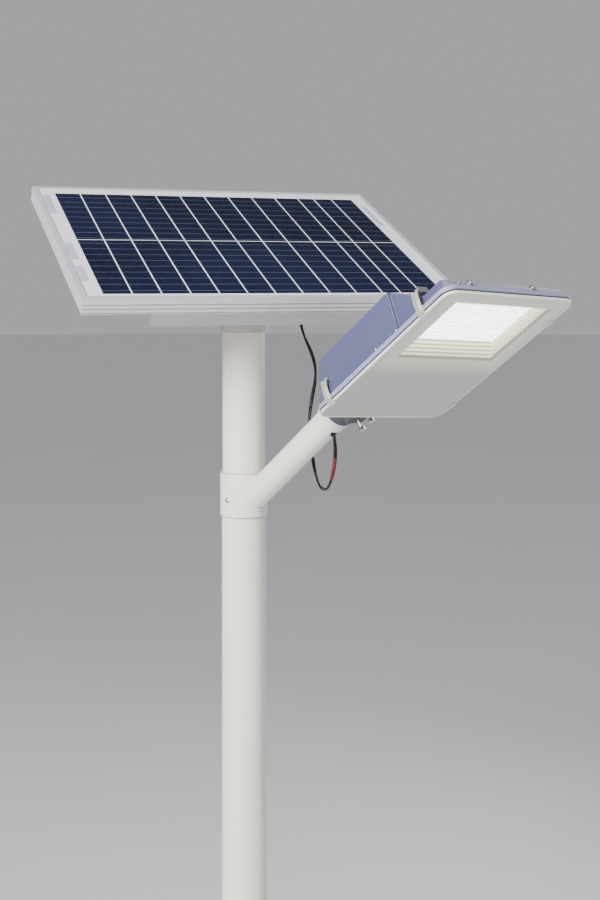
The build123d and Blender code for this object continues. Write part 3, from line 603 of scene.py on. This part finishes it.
def window_mask(sheet, local, margin):
    """1 in the lamp glass's clear window and 0 on its border, and how far outside it a place is."""
    rounding = 4.0 * MM
    axes = sheet.axes(local)
    middle = (WINDOW_U[0] + WINDOW_U[1]) / 2 * MM
    half = (WINDOW_U[1] - WINDOW_U[0]) / 2 * MM
    along = sheet.maths("SUBTRACT", sheet.off(axes[0], middle), half)
    across = sheet.maths("SUBTRACT", sheet.maths("ABSOLUTE", axes[1]), WINDOW_V * MM)
    outside = sheet.maths("SMOOTH_MAX", along, across, rounding)
    return sheet.spread(outside, margin, -margin, 0.0, 1.0), outside


def lamp_glass_finish(colour):
    """Toughened glass with a frosted print round a clear window; the print is painted lighter and made to
    glow near the window, as light from the lenses, and a painted highlight runs just inside the glass edge.
    """
    sheet, surface, place = shader(
        "lamp_glass", Coat_Weight=1.0, Coat_Roughness=0.06, Coat_IOR=1.5, Specular_IOR_Level=0.4,
        Emission_Strength=0.55)
    local = in_frame(sheet, place, lamp_frame)
    clear, outside = window_mask(sheet, local, 2.5 * MM)
    cloud = sheet.noise(local, 9.0, 3.0)
    frost = sheet.noise(local, 900.0, 2.0)
    tinted = sheet.mix(sheet.spread(cloud, 0.3, 0.7, 0.0, 0.35), colour, (0.46, 0.46, 0.44, 1.0))
    # Painted light: near the window the print is lightened and made to glow, standing in for the lenses'
    # light scattering in it.
    glow = sheet.spread(outside, 55.0 * MM, 0.0, 0.0, 1.0)
    border = sheet.mix(sheet.maths("MULTIPLY", glow, 0.25), tinted, (0.85, 0.84, 0.77, 1.0))
    axes = sheet.axes(local)
    # Painted highlight: a pale green line just inside the glass edge, where the edge catches the light.
    ends = sheet.maths("SUBTRACT", sheet.maths("ABSOLUTE", axes[0]), COVER_HALF_L * MM)
    flanks = sheet.maths("SUBTRACT", sheet.maths("ABSOLUTE", axes[1]), COVER_HALF_W * MM)
    past_edge = sheet.maths("SMOOTH_MAX", ends, flanks, 20.0 * MM)
    rim = sheet.spread(past_edge, -4.2 * MM, -2.2 * MM, 0.0, 0.8)
    sheet.feed(surface["Base Color"], sheet.mix(rim, border, (0.74, 0.80, 0.68, 1.0)))
    # The painted glow goes out as emission on the print only, not in the clear window.
    lit = sheet.maths("MULTIPLY", glow, sheet.maths("SUBTRACT", 1.0, clear))
    sheet.feed(surface["Emission Color"], sheet.mix(lit, (0, 0, 0, 1), (0.42, 0.40, 0.33, 1.0)))
    sheet.feed(surface["Alpha"], sheet.spread(clear, 0.0, 1.0, 1.0, 0.10))
    sheet.feed(surface["Roughness"], sheet.spread(frost, 0.3, 0.7, 0.30, 0.42))


def glowing_finish(name, colour, strength):
    """A lit lens face with small bright and dim places."""
    sheet, surface, place = shader(name, Emission_Strength=strength, Roughness=0.15)
    local = in_frame(sheet, place, lamp_frame)
    spots = sheet.spread(sheet.noise(local, 260.0, 2.0), 0.35, 0.65, 0.55, 1.0)
    wide = sheet.spread(sheet.noise(local, 34.0, 2.0), 0.3, 0.7, 0.75, 1.0)
    level = sheet.maths("MULTIPLY", spots, wide)
    sheet.feed(surface["Emission Color"], sheet.mix(level, (0.30, 0.33, 0.38, 1.0), colour))
    sheet.feed(surface["Base Color"], sheet.mix(level, (0.7, 0.7, 0.7, 1.0), (0.92, 0.93, 0.95, 1.0)))


def reflector_finish(colour):
    """Cream plastic with painted light from the lenses: glowing bright treads, dimmer risers and a fall-off
    outwards.
    """
    sheet, surface, place = plastic("reflector_plastic", colour, 0.3, 0.3, Emission_Strength=1.7)
    axes = sheet.axes(in_frame(sheet, place, lamp_frame))

    def share(value, inner, outer):
        """How far a place lies between the lenses, 0, and the window's edge, 1."""
        return sheet.maths("DIVIDE", sheet.maths("SUBTRACT", value, inner * MM), (outer - inner) * MM)

    out = sheet.fold("MAXIMUM", [
        share(axes[0], LED_U[0], WINDOW_U[0]), share(axes[0], LED_U[1], WINDOW_U[1]),
        share(sheet.maths("ABSOLUTE", axes[1]), LED_V, WINDOW_V)])
    # Painted light: the steps glow through emission, brightest at each tread's edge and fading outwards from
    # the lenses.
    near_step = sheet.maths("PINGPONG", sheet.maths("MULTIPLY", out, REFLECTOR_STEPS), 0.5)
    lip = sheet.spread(near_step, 0.12, 0.36, 1.0, 0.16)
    level = sheet.maths("MULTIPLY", lip, sheet.spread(out, 0.0, 1.1, 1.0, 0.6))
    sheet.feed(surface["Emission Color"], sheet.mix(level, (0, 0, 0, 1), (0.95, 0.90, 0.72, 1.0)))


def pole_finish(colour):
    """Ivory powder coat with painted shade lines round the collar and under the sleeve."""
    sheet, surface, place, coat = powder(
        "ivory_paint", colour, (0.80, 0.79, 0.76, 1.0), dust=0.16, gloss=0.34)
    axes = sheet.axes(place)
    low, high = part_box("arm_collar")
    squares = [sheet.maths("POWER", axes[axis], 2.0) for axis in (0, 1)]
    off_axis = sheet.maths("SQRT", sheet.maths("ADD", *squares))
    on_pole = sheet.maths("LESS_THAN", off_axis, high.x + 3.0 * MM)
    # Painted shade: thin dark lines on the pole just below the collar, just above its top and just below the
    # sleeve, where these pieces cast shade.
    bands = []
    for level, width, depth in (
            (low.z - 0.9 * MM, 1.3 * MM, 0.75), (high.z + 0.4 * MM, 1.0 * MM, 0.45),
            (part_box("top_sleeve")[0].z - 0.8 * MM, 1.2 * MM, 0.5)):
        bands.append(sheet.spread(sheet.off(axes[2], level), width, width * 0.4, 0.0, depth))
    shade_lines = sheet.maths("MULTIPLY", sheet.fold("MAXIMUM", bands), on_pole)
    patches = sheet.spread(sheet.noise(place, 60.0, 3.0), 0.25, 0.6, 0.55, 1.0)
    painted_shade = sheet.maths("MULTIPLY", shade_lines, patches)
    # The painted shade lines, made patchy by noise, mixed over the coat in a dark brown.
    sheet.feed(surface["Base Color"], sheet.mix(painted_shade, coat, (0.14, 0.12, 0.10, 1.0)))


def head_finish(colour):
    """Powder coat with a painted highlight on the lip round the glass and a painted shade line in the crease
    where the lip meets the walls.
    """
    # The edge colour given here is much lighter than the coat: a painted highlight along the head's edges as
    # well as wear.
    sheet, surface, place, coat = powder(
        "head_paint", colour, (0.30, 0.31, 0.44, 1.0), dust=0.05, grain=1.4, edge=0.0022, gloss=0.38)
    depth = sheet.axes(in_frame(sheet, place, lamp_frame))[2]
    # Painted highlight: the lip round the glass is lightened, as if catching the light along its edge.
    lip = sheet.spread(depth, LIP_TOP_Z * MM, (LIP_TOP_Z - 0.6) * MM, 0.0, 0.42)
    # Painted shade: a dark line in the crease just above the lip, where the walls meet it.
    crease_shade = sheet.spread(sheet.off(depth, (LIP_TOP_Z + 0.8) * MM), 1.2 * MM, 0.3 * MM, 0.0, 0.45)
    pale = sheet.mix(lip, coat, (0.55, 0.57, 0.74, 1.0))
    sheet.feed(surface["Base Color"], sheet.mix(crease_shade, pale, (0.06, 0.06, 0.09, 1.0)))


def socket_finish(colour):
    """Coarse dark grey coating, kept darker than the head's paint partly as painted shade on its downward
    face, with a bare ring round the mouth that the arm enters.
    """
    sheet, surface, place, coat = powder(
        "socket_paint", colour, (0.10, 0.10, 0.12, 1.0), dust=0.06, grain=2.4, gloss=0.45, lacquer=0.0)
    along = sheet.axes(in_frame(sheet, place, arm_frame))[0]
    mouth = sheet.spread(along, (ARM_MOUTH + 0.5) * MM, (ARM_MOUTH - 0.5) * MM, 0.0, 1.0)
    sheet.feed(surface["Base Color"], sheet.mix(mouth, coat, (0.72, 0.71, 0.66, 1.0)))


def lead_finish():
    """Black jacket over two cores, with one red core bared for a short stretch."""
    sheet, surface, place = shader("lead_jacket", Specular_IOR_Level=0.3)
    core = sheet.add("ShaderNodeAttribute", attribute_name="core").outputs["Fac"]
    along = sheet.add("ShaderNodeAttribute", attribute_name="bared").outputs["Fac"]
    red = sheet.maths("MULTIPLY", sheet.spread(core, 0.45, 0.55, 0.55, 1.0),
                      sheet.spread(along, 0.3, 0.7, 0.0, 1.0))
    marks = sheet.noise(place, 140.0, 3.0)
    black = sheet.mix(sheet.spread(marks, 0.4, 0.7, 0.0, 1.0), (0.004, 0.004, 0.005, 1.0),
                      (0.012, 0.012, 0.014, 1.0))
    sheet.feed(surface["Base Color"], sheet.mix(red, black, (0.15, 0.006, 0.010, 1.0)))
    sheet.feed(surface["Roughness"], sheet.spread(marks, 0.3, 0.7, 0.38, 0.55))
    sheet.feed(surface["Normal"], sheet.bump(0.2, 0.0003, marks))


# ---------------------------------------------------------------- repeats by geometry nodes
def repeat_tree(name, inputs):
    """An empty geometry tree with named inputs, its sheet and its two end nodes."""
    tree = bpy.data.node_groups.new(name, "GeometryNodeTree")
    tree.interface.new_socket(name="Geometry", in_out="INPUT", socket_type="NodeSocketGeometry")
    for label, kind in inputs:
        tree.interface.new_socket(name=label, in_out="INPUT", socket_type=kind)
    tree.interface.new_socket(name="Geometry", in_out="OUTPUT", socket_type="NodeSocketGeometry")
    sheet = Sheet(tree)
    return tree, sheet, sheet.add("NodeGroupInput").outputs, sheet.add("NodeGroupOutput").inputs


def close_tree(sheet, instances, material, sink):
    """Ends a tree with real, smooth geometry in one material."""
    real = sheet.add("GeometryNodeRealizeInstances", {"Geometry": instances})
    smooth = sheet.add("GeometryNodeSetShadeSmooth", {"Geometry": real.outputs[0]})
    shown = sheet.add("GeometryNodeSetMaterial", {"Geometry": smooth.outputs[0], "Material": material})
    sheet.feed(sink[0], shown.outputs[0])


def lens_tree():
    """Flattened domes on a grid."""
    tree, sheet, source, sink = repeat_tree("lens_grid", [
        ("Length", "NodeSocketFloat"), ("Width", "NodeSocketFloat"), ("Columns", "NodeSocketInt"),
        ("Rows", "NodeSocketInt"), ("Radius", "NodeSocketFloat"), ("Material", "NodeSocketMaterial")])
    grid = sheet.add("GeometryNodeMeshGrid", {
        "Size X": source["Length"], "Size Y": source["Width"], "Vertices X": source["Columns"],
        "Vertices Y": source["Rows"]})
    dome = sheet.add("GeometryNodeMeshUVSphere", {"Segments": 12, "Rings": 7, "Radius": source["Radius"]})
    spread = sheet.add("GeometryNodeInstanceOnPoints", {
        "Points": grid.outputs[0], "Instance": dome.outputs[0], "Scale": (1.0, 1.0, 0.7)})
    close_tree(sheet, spread.outputs[0], source["Material"], sink)
    return tree


def weld_tree():
    """Uneven beads at each vertex of a path."""
    tree, sheet, source, sink = repeat_tree("weld_beads", [
        ("Radius", "NodeSocketFloat"), ("Unevenness", "NodeSocketFloat"), ("Seed", "NodeSocketInt"),
        ("Material", "NodeSocketMaterial")])
    bead = sheet.add("GeometryNodeMeshIcoSphere", {"Radius": source["Radius"], "Subdivisions": 2})
    low = sheet.maths("SUBTRACT", 1.0, source["Unevenness"])
    size = sheet.add("FunctionNodeRandomValue", data_type="FLOAT")
    sheet.feed(size.inputs[2], low)
    sheet.feed(size.inputs[3], 1.0)
    sheet.feed(size.inputs["Seed"], source["Seed"])
    spread = sheet.add("GeometryNodeInstanceOnPoints", {
        "Points": source["Geometry"], "Instance": bead.outputs[0], "Scale": size.outputs[1]})
    close_tree(sheet, spread.outputs[0], source["Material"], sink)
    return tree


def grow(name, tree, points, values, matrix=Matrix.Identity(4)):
    """Runs a tree on a set of points and keeps its result as a plain mesh."""
    made = piece(name, fill(bpy.data.meshes.new(name), points, []))
    modifier = made.modifiers.new("repeat", "NODES")
    modifier.node_group = tree
    for item in tree.interface.items_tree:
        if item.in_out == "INPUT" and item.name in values:
            modifier[item.identifier] = values[item.name]
    made.update_tag()
    apply_modifiers(made)
    made.data.transform(matrix)
    return made


# ---------------------------------------------------------------- mesh helpers
def boxes_mesh(name, boxes, matrix):
    """Separate boxes, each given by its limits in millimetres, as one mesh in a frame."""
    body = bmesh.new()
    for (x0, x1), (y0, y1), (z0, z1) in boxes:
        made = bmesh.ops.create_cube(body, size=1.0)
        for vertex in made["verts"]:
            x, y, z = (vertex.co + Vector((0.5, 0.5, 0.5)))
            vertex.co = Vector((x0 + x * (x1 - x0), y0 + y * (y1 - y0), z0 + z * (z1 - z0))) * MM
    mesh = bpy.data.meshes.new(name)
    body.to_mesh(mesh)
    body.free()
    mesh.transform(matrix)
    return mesh


def extruded(outline, start, end, matrix):
    """A prism along x from an outline of (y, z) points in millimetres."""
    body = bmesh.new()
    rings = []
    for x in (start, end):
        rings.append([body.verts.new(matrix @ (Vector((x, y, z)) * MM)) for y, z in outline])
    body.faces.new(rings[0])
    body.faces.new(rings[1])
    for index in range(len(outline)):
        after = (index + 1) % len(outline)
        body.faces.new((rings[0][index], rings[0][after], rings[1][after], rings[1][index]))
    bmesh.ops.recalc_face_normals(body, faces=body.faces)
    return body


def ribbon(path, thickness):
    """The outline of a bent strip of even thickness along a path of (y, z) points."""
    left = []
    right = []
    for index, point in enumerate(path):
        here = Vector(point)
        before = Vector(path[max(index - 1, 0)])
        after = Vector(path[min(index + 1, len(path) - 1)])
        ways = [w.normalized() for w in (here - before, after - here) if w.length > 0]
        mean = sum(ways, Vector((0, 0))).normalized()
        side = Vector((-mean.y, mean.x)) * (thickness / 2 / max(mean.dot(ways[0]), 0.5))
        left.append(here + side)
        right.append(here - side)
    return [tuple(p) for p in left + right[::-1]]


def join(name, bodies):
    """Several bmesh bodies as one mesh."""
    whole = bmesh.new()
    for body in bodies:
        part = bpy.data.meshes.new("part")
        body.to_mesh(part)
        body.free()
        whole.from_mesh(part)
        bpy.data.meshes.remove(part)
    mesh = bpy.data.meshes.new(name)
    whole.to_mesh(mesh)
    whole.free()
    return mesh


# ---------------------------------------------------------------- leads
def route_points(points):
    """The smooth line through a route's control points."""
    curve = bpy.data.curves.new("route", "CURVE")
    curve.dimensions = "3D"
    curve.resolution_u = 14
    spline = curve.splines.new("NURBS")
    spline.points.add(len(points) - 1)
    for control, point in zip(spline.points, points):
        control.co = (*point, 1.0)
    spline.order_u = 3
    spline.use_endpoint_u = True
    holder = bpy.data.objects.new("route", curve)
    bpy.context.scene.collection.objects.link(holder)
    line = bpy.data.meshes.new_from_object(holder.evaluated_get(bpy.context.evaluated_depsgraph_get()))
    path = [vertex.co.copy() for vertex in line.vertices]
    bpy.data.objects.remove(holder)
    return path


def twin_section():
    """The outline of two cores side by side, and which core each point is on."""
    radius = LEAD_WIDTH * CORE_SHARE
    offset = LEAD_WIDTH / 2 - radius
    start = math.degrees(math.acos(offset / radius))
    spans = 10
    outline = []
    for side in (1, -1):
        for step in range(spans + 1):
            angle = math.radians(start - 180 + step * (360 - 2 * start) / spans)
            x = side * (offset + radius * math.cos(angle))
            outline.append((x, side * radius * math.sin(angle), side > 0))
    return outline


def twin_lead(name, path, turn_start, turn_length, bared):
    """A tube of two slowly twisting cores along a path, with its core and bared stretch as attributes."""
    outline = twin_section()
    vertices = []
    core = []
    shown = []
    gone = 0.0
    for index, point in enumerate(path):
        before = path[max(index - 1, 0)]
        after = path[min(index + 1, len(path) - 1)]
        way = (after - before).normalized()
        if index:
            gone += (point - path[index - 1]).length
        side = (Vector((1, 0, 0)) - way * way.x).normalized()
        other = way.cross(side)
        angle = 2 * math.pi * (turn_start + gone) / turn_length
        inside = 1.0 if bared[0] < gone < bared[1] else 0.0
        for x, y, is_first in outline:
            flat = side * (x * math.cos(angle) - y * math.sin(angle))
            vertices.append(point + flat + other * (x * math.sin(angle) + y * math.cos(angle)))
            core.append(float(is_first))
            shown.append(inside)
    count = len(outline)
    faces = []
    for ring in range(len(path) - 1):
        for index in range(count):
            after = (index + 1) % count
            low = ring * count
            faces.append((low + index, low + after, low + count + after, low + count + index))
    faces.append(tuple(range(count))[::-1])
    faces.append(tuple(range((len(path) - 1) * count, len(path) * count)))
    made = piece(name, fill(bpy.data.meshes.new(name), vertices, faces), finishes["lead_jacket"], smooth=True)
    for label, values in (("core", core), ("bared", shown)):
        made.data.attributes.new(label, "FLOAT", "POINT").data.foreach_set("value", values)
    return made, gone


class STREETLAMP_OT_leads(bpy.types.Operator):
    """Lay the twin lead from the panel's gland to the arm in three lengths"""
    bl_idname = "streetlamp.leads"
    bl_label = "Lead"

    def execute(self, context):
        lead_finish()
        done = 0.0
        turn_length = context.scene.lamp_sizes.lead_turn
        for node, points, bodies, length, bend_end, bared, on_it in LEADS:
            path = route_points(points)
            made, gone = twin_lead(f"twin_{node}", path, done, turn_length, bared)
            done += gone
            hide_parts(node)
            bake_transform(made)
        return {"FINISHED"}


# ---------------------------------------------------------------- camera and stage
class STREETLAMP_OT_stage(bpy.types.Operator):
    """Set up the camera, floor and soft studio light"""
    bl_idname = "streetlamp.stage"
    bl_label = "Camera and stage"

    def execute(self, context):
        studio = context.scene.studio
        camera = bpy.data.objects.new("camera", bpy.data.cameras.new("camera"))
        camera.data.lens = studio.focal_length
        camera.data.sensor_width = SENSOR_WIDTH
        camera.data.shift_y = CAMERA_RISE
        camera.data.clip_end = VIEW_DEPTH
        camera.location = CAMERA_PLACE
        camera.rotation_euler = (math.radians(CAMERA_PITCH), 0.0, math.radians(CAMERA_HEADING))
        context.scene.collection.objects.link(camera)
        context.scene.camera = camera
        self.floor()
        self.lights(studio)
        return {"FINISHED"}

    def floor(self):
        """A wide round floor."""
        sheet, surface, place = shader("floor", Specular_IOR_Level=0.2)
        cloud = sheet.noise(place, 0.8, 3.0)
        sheet.feed(surface["Base Color"], sheet.mix(cloud, (0.80, 0.80, 0.81, 1.0), (0.84, 0.84, 0.84, 1.0)))
        sheet.feed(surface["Roughness"], sheet.spread(cloud, 0.3, 0.7, 0.75, 0.9))
        rim = [(FLOOR_REACH * x, FLOOR_REACH * y, 0) for x, y in circle(FLOOR_SIDES)]
        disc = fill(bpy.data.meshes.new("floor"), rim, [tuple(range(FLOOR_SIDES))])
        piece("floor", disc, finishes["floor"])

    def lights(self, studio):
        """Three area lights and an even sky."""
        for name, (size, place, aim) in LIGHTS.items():
            light = bpy.data.lights.new(name, "AREA")
            light.energy = getattr(studio, f"{name}_power")
            light.size = size
            holder = bpy.data.objects.new(name, light)
            holder.location = place
            holder.rotation_euler = (Vector(aim) - Vector(place)).to_track_quat("-Z", "Y").to_euler()
            bpy.context.scene.collection.objects.link(holder)
        world = bpy.data.worlds.new("studio")
        world.use_nodes = True
        sky = world.node_tree.nodes["Background"]
        sky.inputs["Color"].default_value = SKY_COLOUR
        sky.inputs["Strength"].default_value = studio.sky_strength
        bpy.context.scene.world = world


# ---------------------------------------------------------------- finishes on the frame
class STREETLAMP_OT_finishes(bpy.types.Operator):
    """Make the finishes and give them to the fixed pieces"""
    bl_idname = "streetlamp.finishes"
    bl_label = "Finishes"

    def execute(self, context):
        colours = context.scene.lamp_colours
        effects.update(powder=powder_coat_effect(), metal=metal_grain_effect(), moulded=moulded_effect())
        pole_finish(colours.ivory)
        head_finish(colours.head)
        powder("box_paint", colours.box, (0.74, 0.71, 0.71, 1.0), dust=0.06, grain=0.8, edge=0.0016,
               gloss=0.40)
        rail_finish("rail_metal", (0.02, 1.0, 1.0))
        rail_finish("side_rail_metal", (1.0, 0.02, 1.0))
        metal("zinc", srgb(0.83, 0.82, 0.79), 0.50, 0.30, stretch=(1.0, 1.0, 1.0), shine=0.35)
        metal("fixing_steel", srgb(0.78, 0.78, 0.79), 0.30, 0.20, stretch=(1.0, 1.0, 0.2), edge=0.0004)
        metal("clip_steel", srgb(0.92, 0.92, 0.90), 0.33, 0.08, lamp_frame, (0.04, 1.0, 1.0),
              edge=0.0003, shine=0.75)
        metal("mill_aluminium", srgb(0.78, 0.79, 0.80), 0.40, 0.10, lamp_frame, (0.05, 1.0, 1.0))
        plastic("black_plastic", (0.018, 0.018, 0.020, 1.0), 0.42)
        plastic("seal_rubber", (0.012, 0.012, 0.014, 1.0), 0.60, 1.0)
        plastic("white_sheet", (0.72, 0.72, 0.71, 1.0), 0.50, 0.4)
        reflector_finish(colours.reflector)
        socket_finish(colours.socket)
        plastic("board_mask", (0.75, 0.78, 0.75, 1.0), 0.35, 0.2)
        plastic("cell_sleeve", (0.02, 0.10, 0.35, 1.0), 0.25, 0.1, Coat_Weight=0.4)
        lamp_glass_finish(colours.print_border)
        glowing_finish("lens_plate", (1.0, 0.99, 0.95, 1.0), 1.3)
        glowing_finish("lens_dome", (1.0, 1.0, 0.98, 1.0), 6.0)
        cell_finish(tuple(colours.cell))
        laminate_finish()
        for finish, names in WEARERS.items():
            dress(finishes[finish], *names)
        return {"FINISHED"}


class STREETLAMP_OT_panel_face(bpy.types.Operator):
    """Make the panel's glass face and its cells"""
    bl_idname = "streetlamp.panel_face"
    bl_label = "Panel face"

    def execute(self, context):
        half_l = PANEL_HALF_L - FRAME_SEAT
        half_w = PANEL_HALF_W - FRAME_SEAT
        slab = boxes_mesh(
            "panel_glass_face", [((-half_l, half_l), (-half_w, half_w), (GLASS_TOP - GLASS_T, GLASS_TOP))],
            panel_frame)
        face = piece("panel_glass_face", slab, finishes["laminate"])
        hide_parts("panel_glass")
        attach(face, "panel")
        plates = []
        left = CELL_LEFT
        for width in CELL_COLUMNS:
            for low, high in CELL_ROWS:
                span = (left + CELL_GAP / 2, left + width - CELL_GAP / 2)
                plates.append((span, (low, high), (GLASS_TOP - CELL_SINK, GLASS_TOP + CELL_RISE)))
            left += width
        mesh = boxes_mesh("panel_cell_faces", plates, panel_frame)
        cells = piece("panel_cell_faces", mesh, finishes["cell"])
        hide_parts("panel_cells")
        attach(cells, "panel")
        return {"FINISHED"}


class STREETLAMP_OT_lenses(bpy.types.Operator):
    """Fill the light board with domed lenses"""
    bl_idname = "streetlamp.lenses"
    bl_label = "LED lenses"

    def execute(self, context):
        sizes = context.scene.lamp_sizes
        edge = sizes.lens_radius + LENS_MARGIN * MM
        centre = lamp_frame @ shift((LED_U[0] + LED_U[1]) / 2, 0, LENS_Z)
        lenses = grow("led_lenses", lens_tree(), [(0, 0, 0)], {
            "Length": (LED_U[1] - LED_U[0]) * MM - 2 * edge, "Width": 2 * LED_V * MM - 2 * edge,
            "Columns": sizes.lens_columns, "Rows": sizes.lens_rows, "Radius": sizes.lens_radius,
            "Material": finishes["lens_dome"]}, centre)
        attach(lenses, "lamp")
        return {"FINISHED"}


class STREETLAMP_OT_clips(bpy.types.Operator):
    """Bend the four strap clips that hold the lamp glass"""
    bl_idname = "streetlamp.clips"
    bl_label = "Glass clips"

    def execute(self, context):
        for side, sign in (("left", -1), ("right", 1)):
            for place, along in CLIP_U.items():
                name = f"clip_{side}_{place}"
                made = piece(f"strap_{name}", self.strap(sign, along), finishes["clip_steel"])
                bevelled(made, CLIP_EDGE * MM)
                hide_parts(name)
                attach(made, name)
        return {"FINISHED"}

    def strap(self, sign, along):
        """A bent strip with a pressed rib, and the two rolled eyes that its pin passes through."""
        out = LAMP_HALF_W + 1.5
        path = [(LAMP_HALF_W - 5.5, -1.0), (LAMP_HALF_W - 1.0, -1.0), (out, 0.2), (out, 8.0),
                (out + 1.4, 14.0), (out + 1.4, 24.0), (out, 31.0), (out, CLIP_PIN_Z - 1.0)]
        low, high = along - CLIP_W / 2, along + CLIP_W / 2
        rib_low, rib_high = along - CLIP_RIB_W / 2, along + CLIP_RIB_W / 2
        strip = [(sign * y, z) for y, z in ribbon(path, CLIP_T)]
        rib = [(sign * y, z) for y, z in ribbon([(y + 0.9, z) for y, z in path[3:7]], 1.0)]
        eye = [(sign * CLIP_PIN_V + CLIP_EYE_R * y, CLIP_PIN_Z + CLIP_EYE_R * z) for y, z in circle(20)]
        runs = ((strip, low, high), (rib, rib_low, rib_high), (eye, low, rib_low), (eye, rib_high, high))
        return join("strap", [extruded(outline, start, end, lamp_frame) for outline, start, end in runs])


def joined_patches(mesh):
    """The vertex positions of each patch of joined faces in a mesh, always in the same order."""
    body = bmesh.new()
    body.from_mesh(mesh)
    left = dict.fromkeys(body.verts)
    patches = []
    while left:
        queue = [left.popitem()[0]]
        found = []
        while queue:
            vertex = queue.pop()
            found.append(vertex.co.copy())
            for edge in vertex.link_edges:
                other = edge.other_vert(vertex)
                if other in left:
                    left.pop(other)
                    queue.append(other)
        patches.append(found)
    body.free()
    return patches


class STREETLAMP_OT_nuts(bpy.types.Operator):
    """Put washers and domed cap nuts on the screws at the lamp head's far end"""
    bl_idname = "streetlamp.nuts"
    bl_label = "Cap nuts"

    def execute(self, context):
        inverse = lamp_frame.inverted()
        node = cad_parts["end_screws"]
        bodies = []
        # The node's faces are not merged, so one screw is several patches and gets a nut for each of them
        for patch in joined_patches(node.data):
            local = [inverse @ (node.matrix_world @ point) for point in patch]
            high = max(point.x for point in local)
            wide = (max(point.y for point in local) - min(point.y for point in local)) / 2
            y = sum(point.y for point in local) / len(local)
            z = (max(point.z for point in local) + min(point.z for point in local)) / 2
            seat = high - HEAD_DEPTH * wide
            bodies.append(self.nut(lamp_frame @ Matrix.Translation((seat, y, z)), wide))
        made = piece("cap_nuts", join("cap_nuts", bodies), finishes["fixing_steel"], smooth=False)
        bevelled(made, NUT_EDGE * MM)
        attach(made, "lamp")
        return {"FINISHED"}

    def nut(self, matrix, wide):
        """A washer, a hexagon and a dome along x, for a patch of the given half width."""
        body = bmesh.new()
        washer = [(0.0, 1.25, 24), (0.30, 1.25, 24)]
        hexagon = [(0.30, 0.98, 6), (0.95, 0.98, 6)]
        dome = [(0.95, 0.80, 16), (1.15, 0.72, 16), (1.35, 0.50, 16), (1.45, 0.20, 16)]
        for profile in (washer, hexagon, dome):
            loops = []
            for x, radius, sides in profile:
                places = [(x * wide, radius * wide * y, radius * wide * z) for y, z in circle(sides)]
                loops.append([body.verts.new(matrix @ Vector(place)) for place in places])
            for low, high in zip(loops, loops[1:]):
                for step in range(len(low)):
                    after = (step + 1) % len(low)
                    body.faces.new((low[step], low[after], high[after], high[step]))
            body.faces.new(loops[0][::-1])
            body.faces.new(loops[-1])
        bmesh.ops.recalc_face_normals(body, faces=body.faces)
        return body


class STREETLAMP_OT_welds(bpy.types.Operator):
    """Run weld beads round the arm's foot, the base plate and the gussets"""
    bl_idname = "streetlamp.welds"
    bl_label = "Welds"

    def execute(self, context):
        tree = weld_tree()
        radius = context.scene.lamp_sizes.bead_radius
        runs = (("arm_weld", "arm", self.arm_foot(), 3), ("base_weld", "pole", self.base_ring(), 5))
        for name, body, points, seed in runs:
            made = grow(name, tree, points, {
                "Radius": radius, "Unevenness": 0.40, "Seed": seed, "Material": finishes["ivory_paint"]})
            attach(made, body)
        return {"FINISHED"}

    def arm_foot(self):
        """Where the arm's tube meets the collar's outside."""
        low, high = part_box("arm_collar")
        collar_r = (high.x - low.x) / 2
        way = arm_frame.to_3x3() @ Vector((1, 0, 0))
        beads = 46
        points = []
        for y, z in circle(beads):
            start = arm_frame @ Vector((0, ARM_R * MM * y, ARM_R * MM * z))
            a = way.x ** 2 + way.y ** 2
            b = 2 * (start.x * way.x + start.y * way.y)
            c = start.x ** 2 + start.y ** 2 - collar_r ** 2
            points.append(start + way * ((-b + math.sqrt(b * b - 4 * a * c)) / (2 * a)))
        return points

    def base_ring(self):
        """Round the pole's foot, then along and up both sides of each gusset."""
        plate_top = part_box("base_plate")[1].z
        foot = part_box("pole")[1].x
        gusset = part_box("base_gussets")[1]
        foot_beads, long_beads, tall_beads = 110, 22, 40
        sunk = 1.2 * MM
        points = [(foot * x, foot * y, plate_top) for x, y in circle(foot_beads)]
        for quarter in range(4):
            spin = Matrix.Rotation(quarter * math.pi / 2, 3, "Z")
            for side in (-GUSSET_T / 2 * MM, GUSSET_T / 2 * MM):
                run = []
                for step in range(long_beads):
                    run.append((foot + (gusset.x - foot) * step / (long_beads - 1), side, plate_top))
                for step in range(tall_beads):
                    z = plate_top + (gusset.z - plate_top) * step / (tall_beads - 1)
                    run.append((foot - sunk, side, z))
                points += [tuple(spin @ Vector(place)) for place in run]
        return points


class STREETLAMP_PT_panel(bpy.types.Panel):
    """Sizes, colours and steps of the street lamp"""
    bl_idname = "STREETLAMP_PT_panel"
    bl_label = "Street Lamp"
    bl_space_type = "VIEW_3D"
    bl_region_type = "UI"
    bl_category = "Street Lamp"

    def draw(self, context):
        for group in (context.scene.lamp_sizes, context.scene.lamp_colours, context.scene.studio):
            for name in group.__annotations__:
                self.layout.prop(group, name)
        for step in steps:
            self.layout.operator(step.bl_idname)


steps = (
    STREETLAMP_OT_stage, STREETLAMP_OT_leads, STREETLAMP_OT_finishes, STREETLAMP_OT_panel_face,
    STREETLAMP_OT_lenses, STREETLAMP_OT_clips, STREETLAMP_OT_nuts, STREETLAMP_OT_welds,
)
groups = {"lamp_sizes": LampSizes, "lamp_colours": LampColours, "studio": StudioSettings}


def register():
    for made in (*groups.values(), *steps, STREETLAMP_PT_panel):
        bpy.utils.register_class(made)
    for name, group in groups.items():
        setattr(bpy.types.Scene, name, PointerProperty(type=group))


def unregister():
    for name in groups:
        delattr(bpy.types.Scene, name)
    for made in (STREETLAMP_PT_panel, *reversed(steps), *reversed(groups.values())):
        bpy.utils.unregister_class(made)


def main():
    register()
    for step in steps:
        family, name = step.bl_idname.split(".")
        getattr(getattr(bpy.ops, family), name)()


if __name__ == "__main__":
    main()
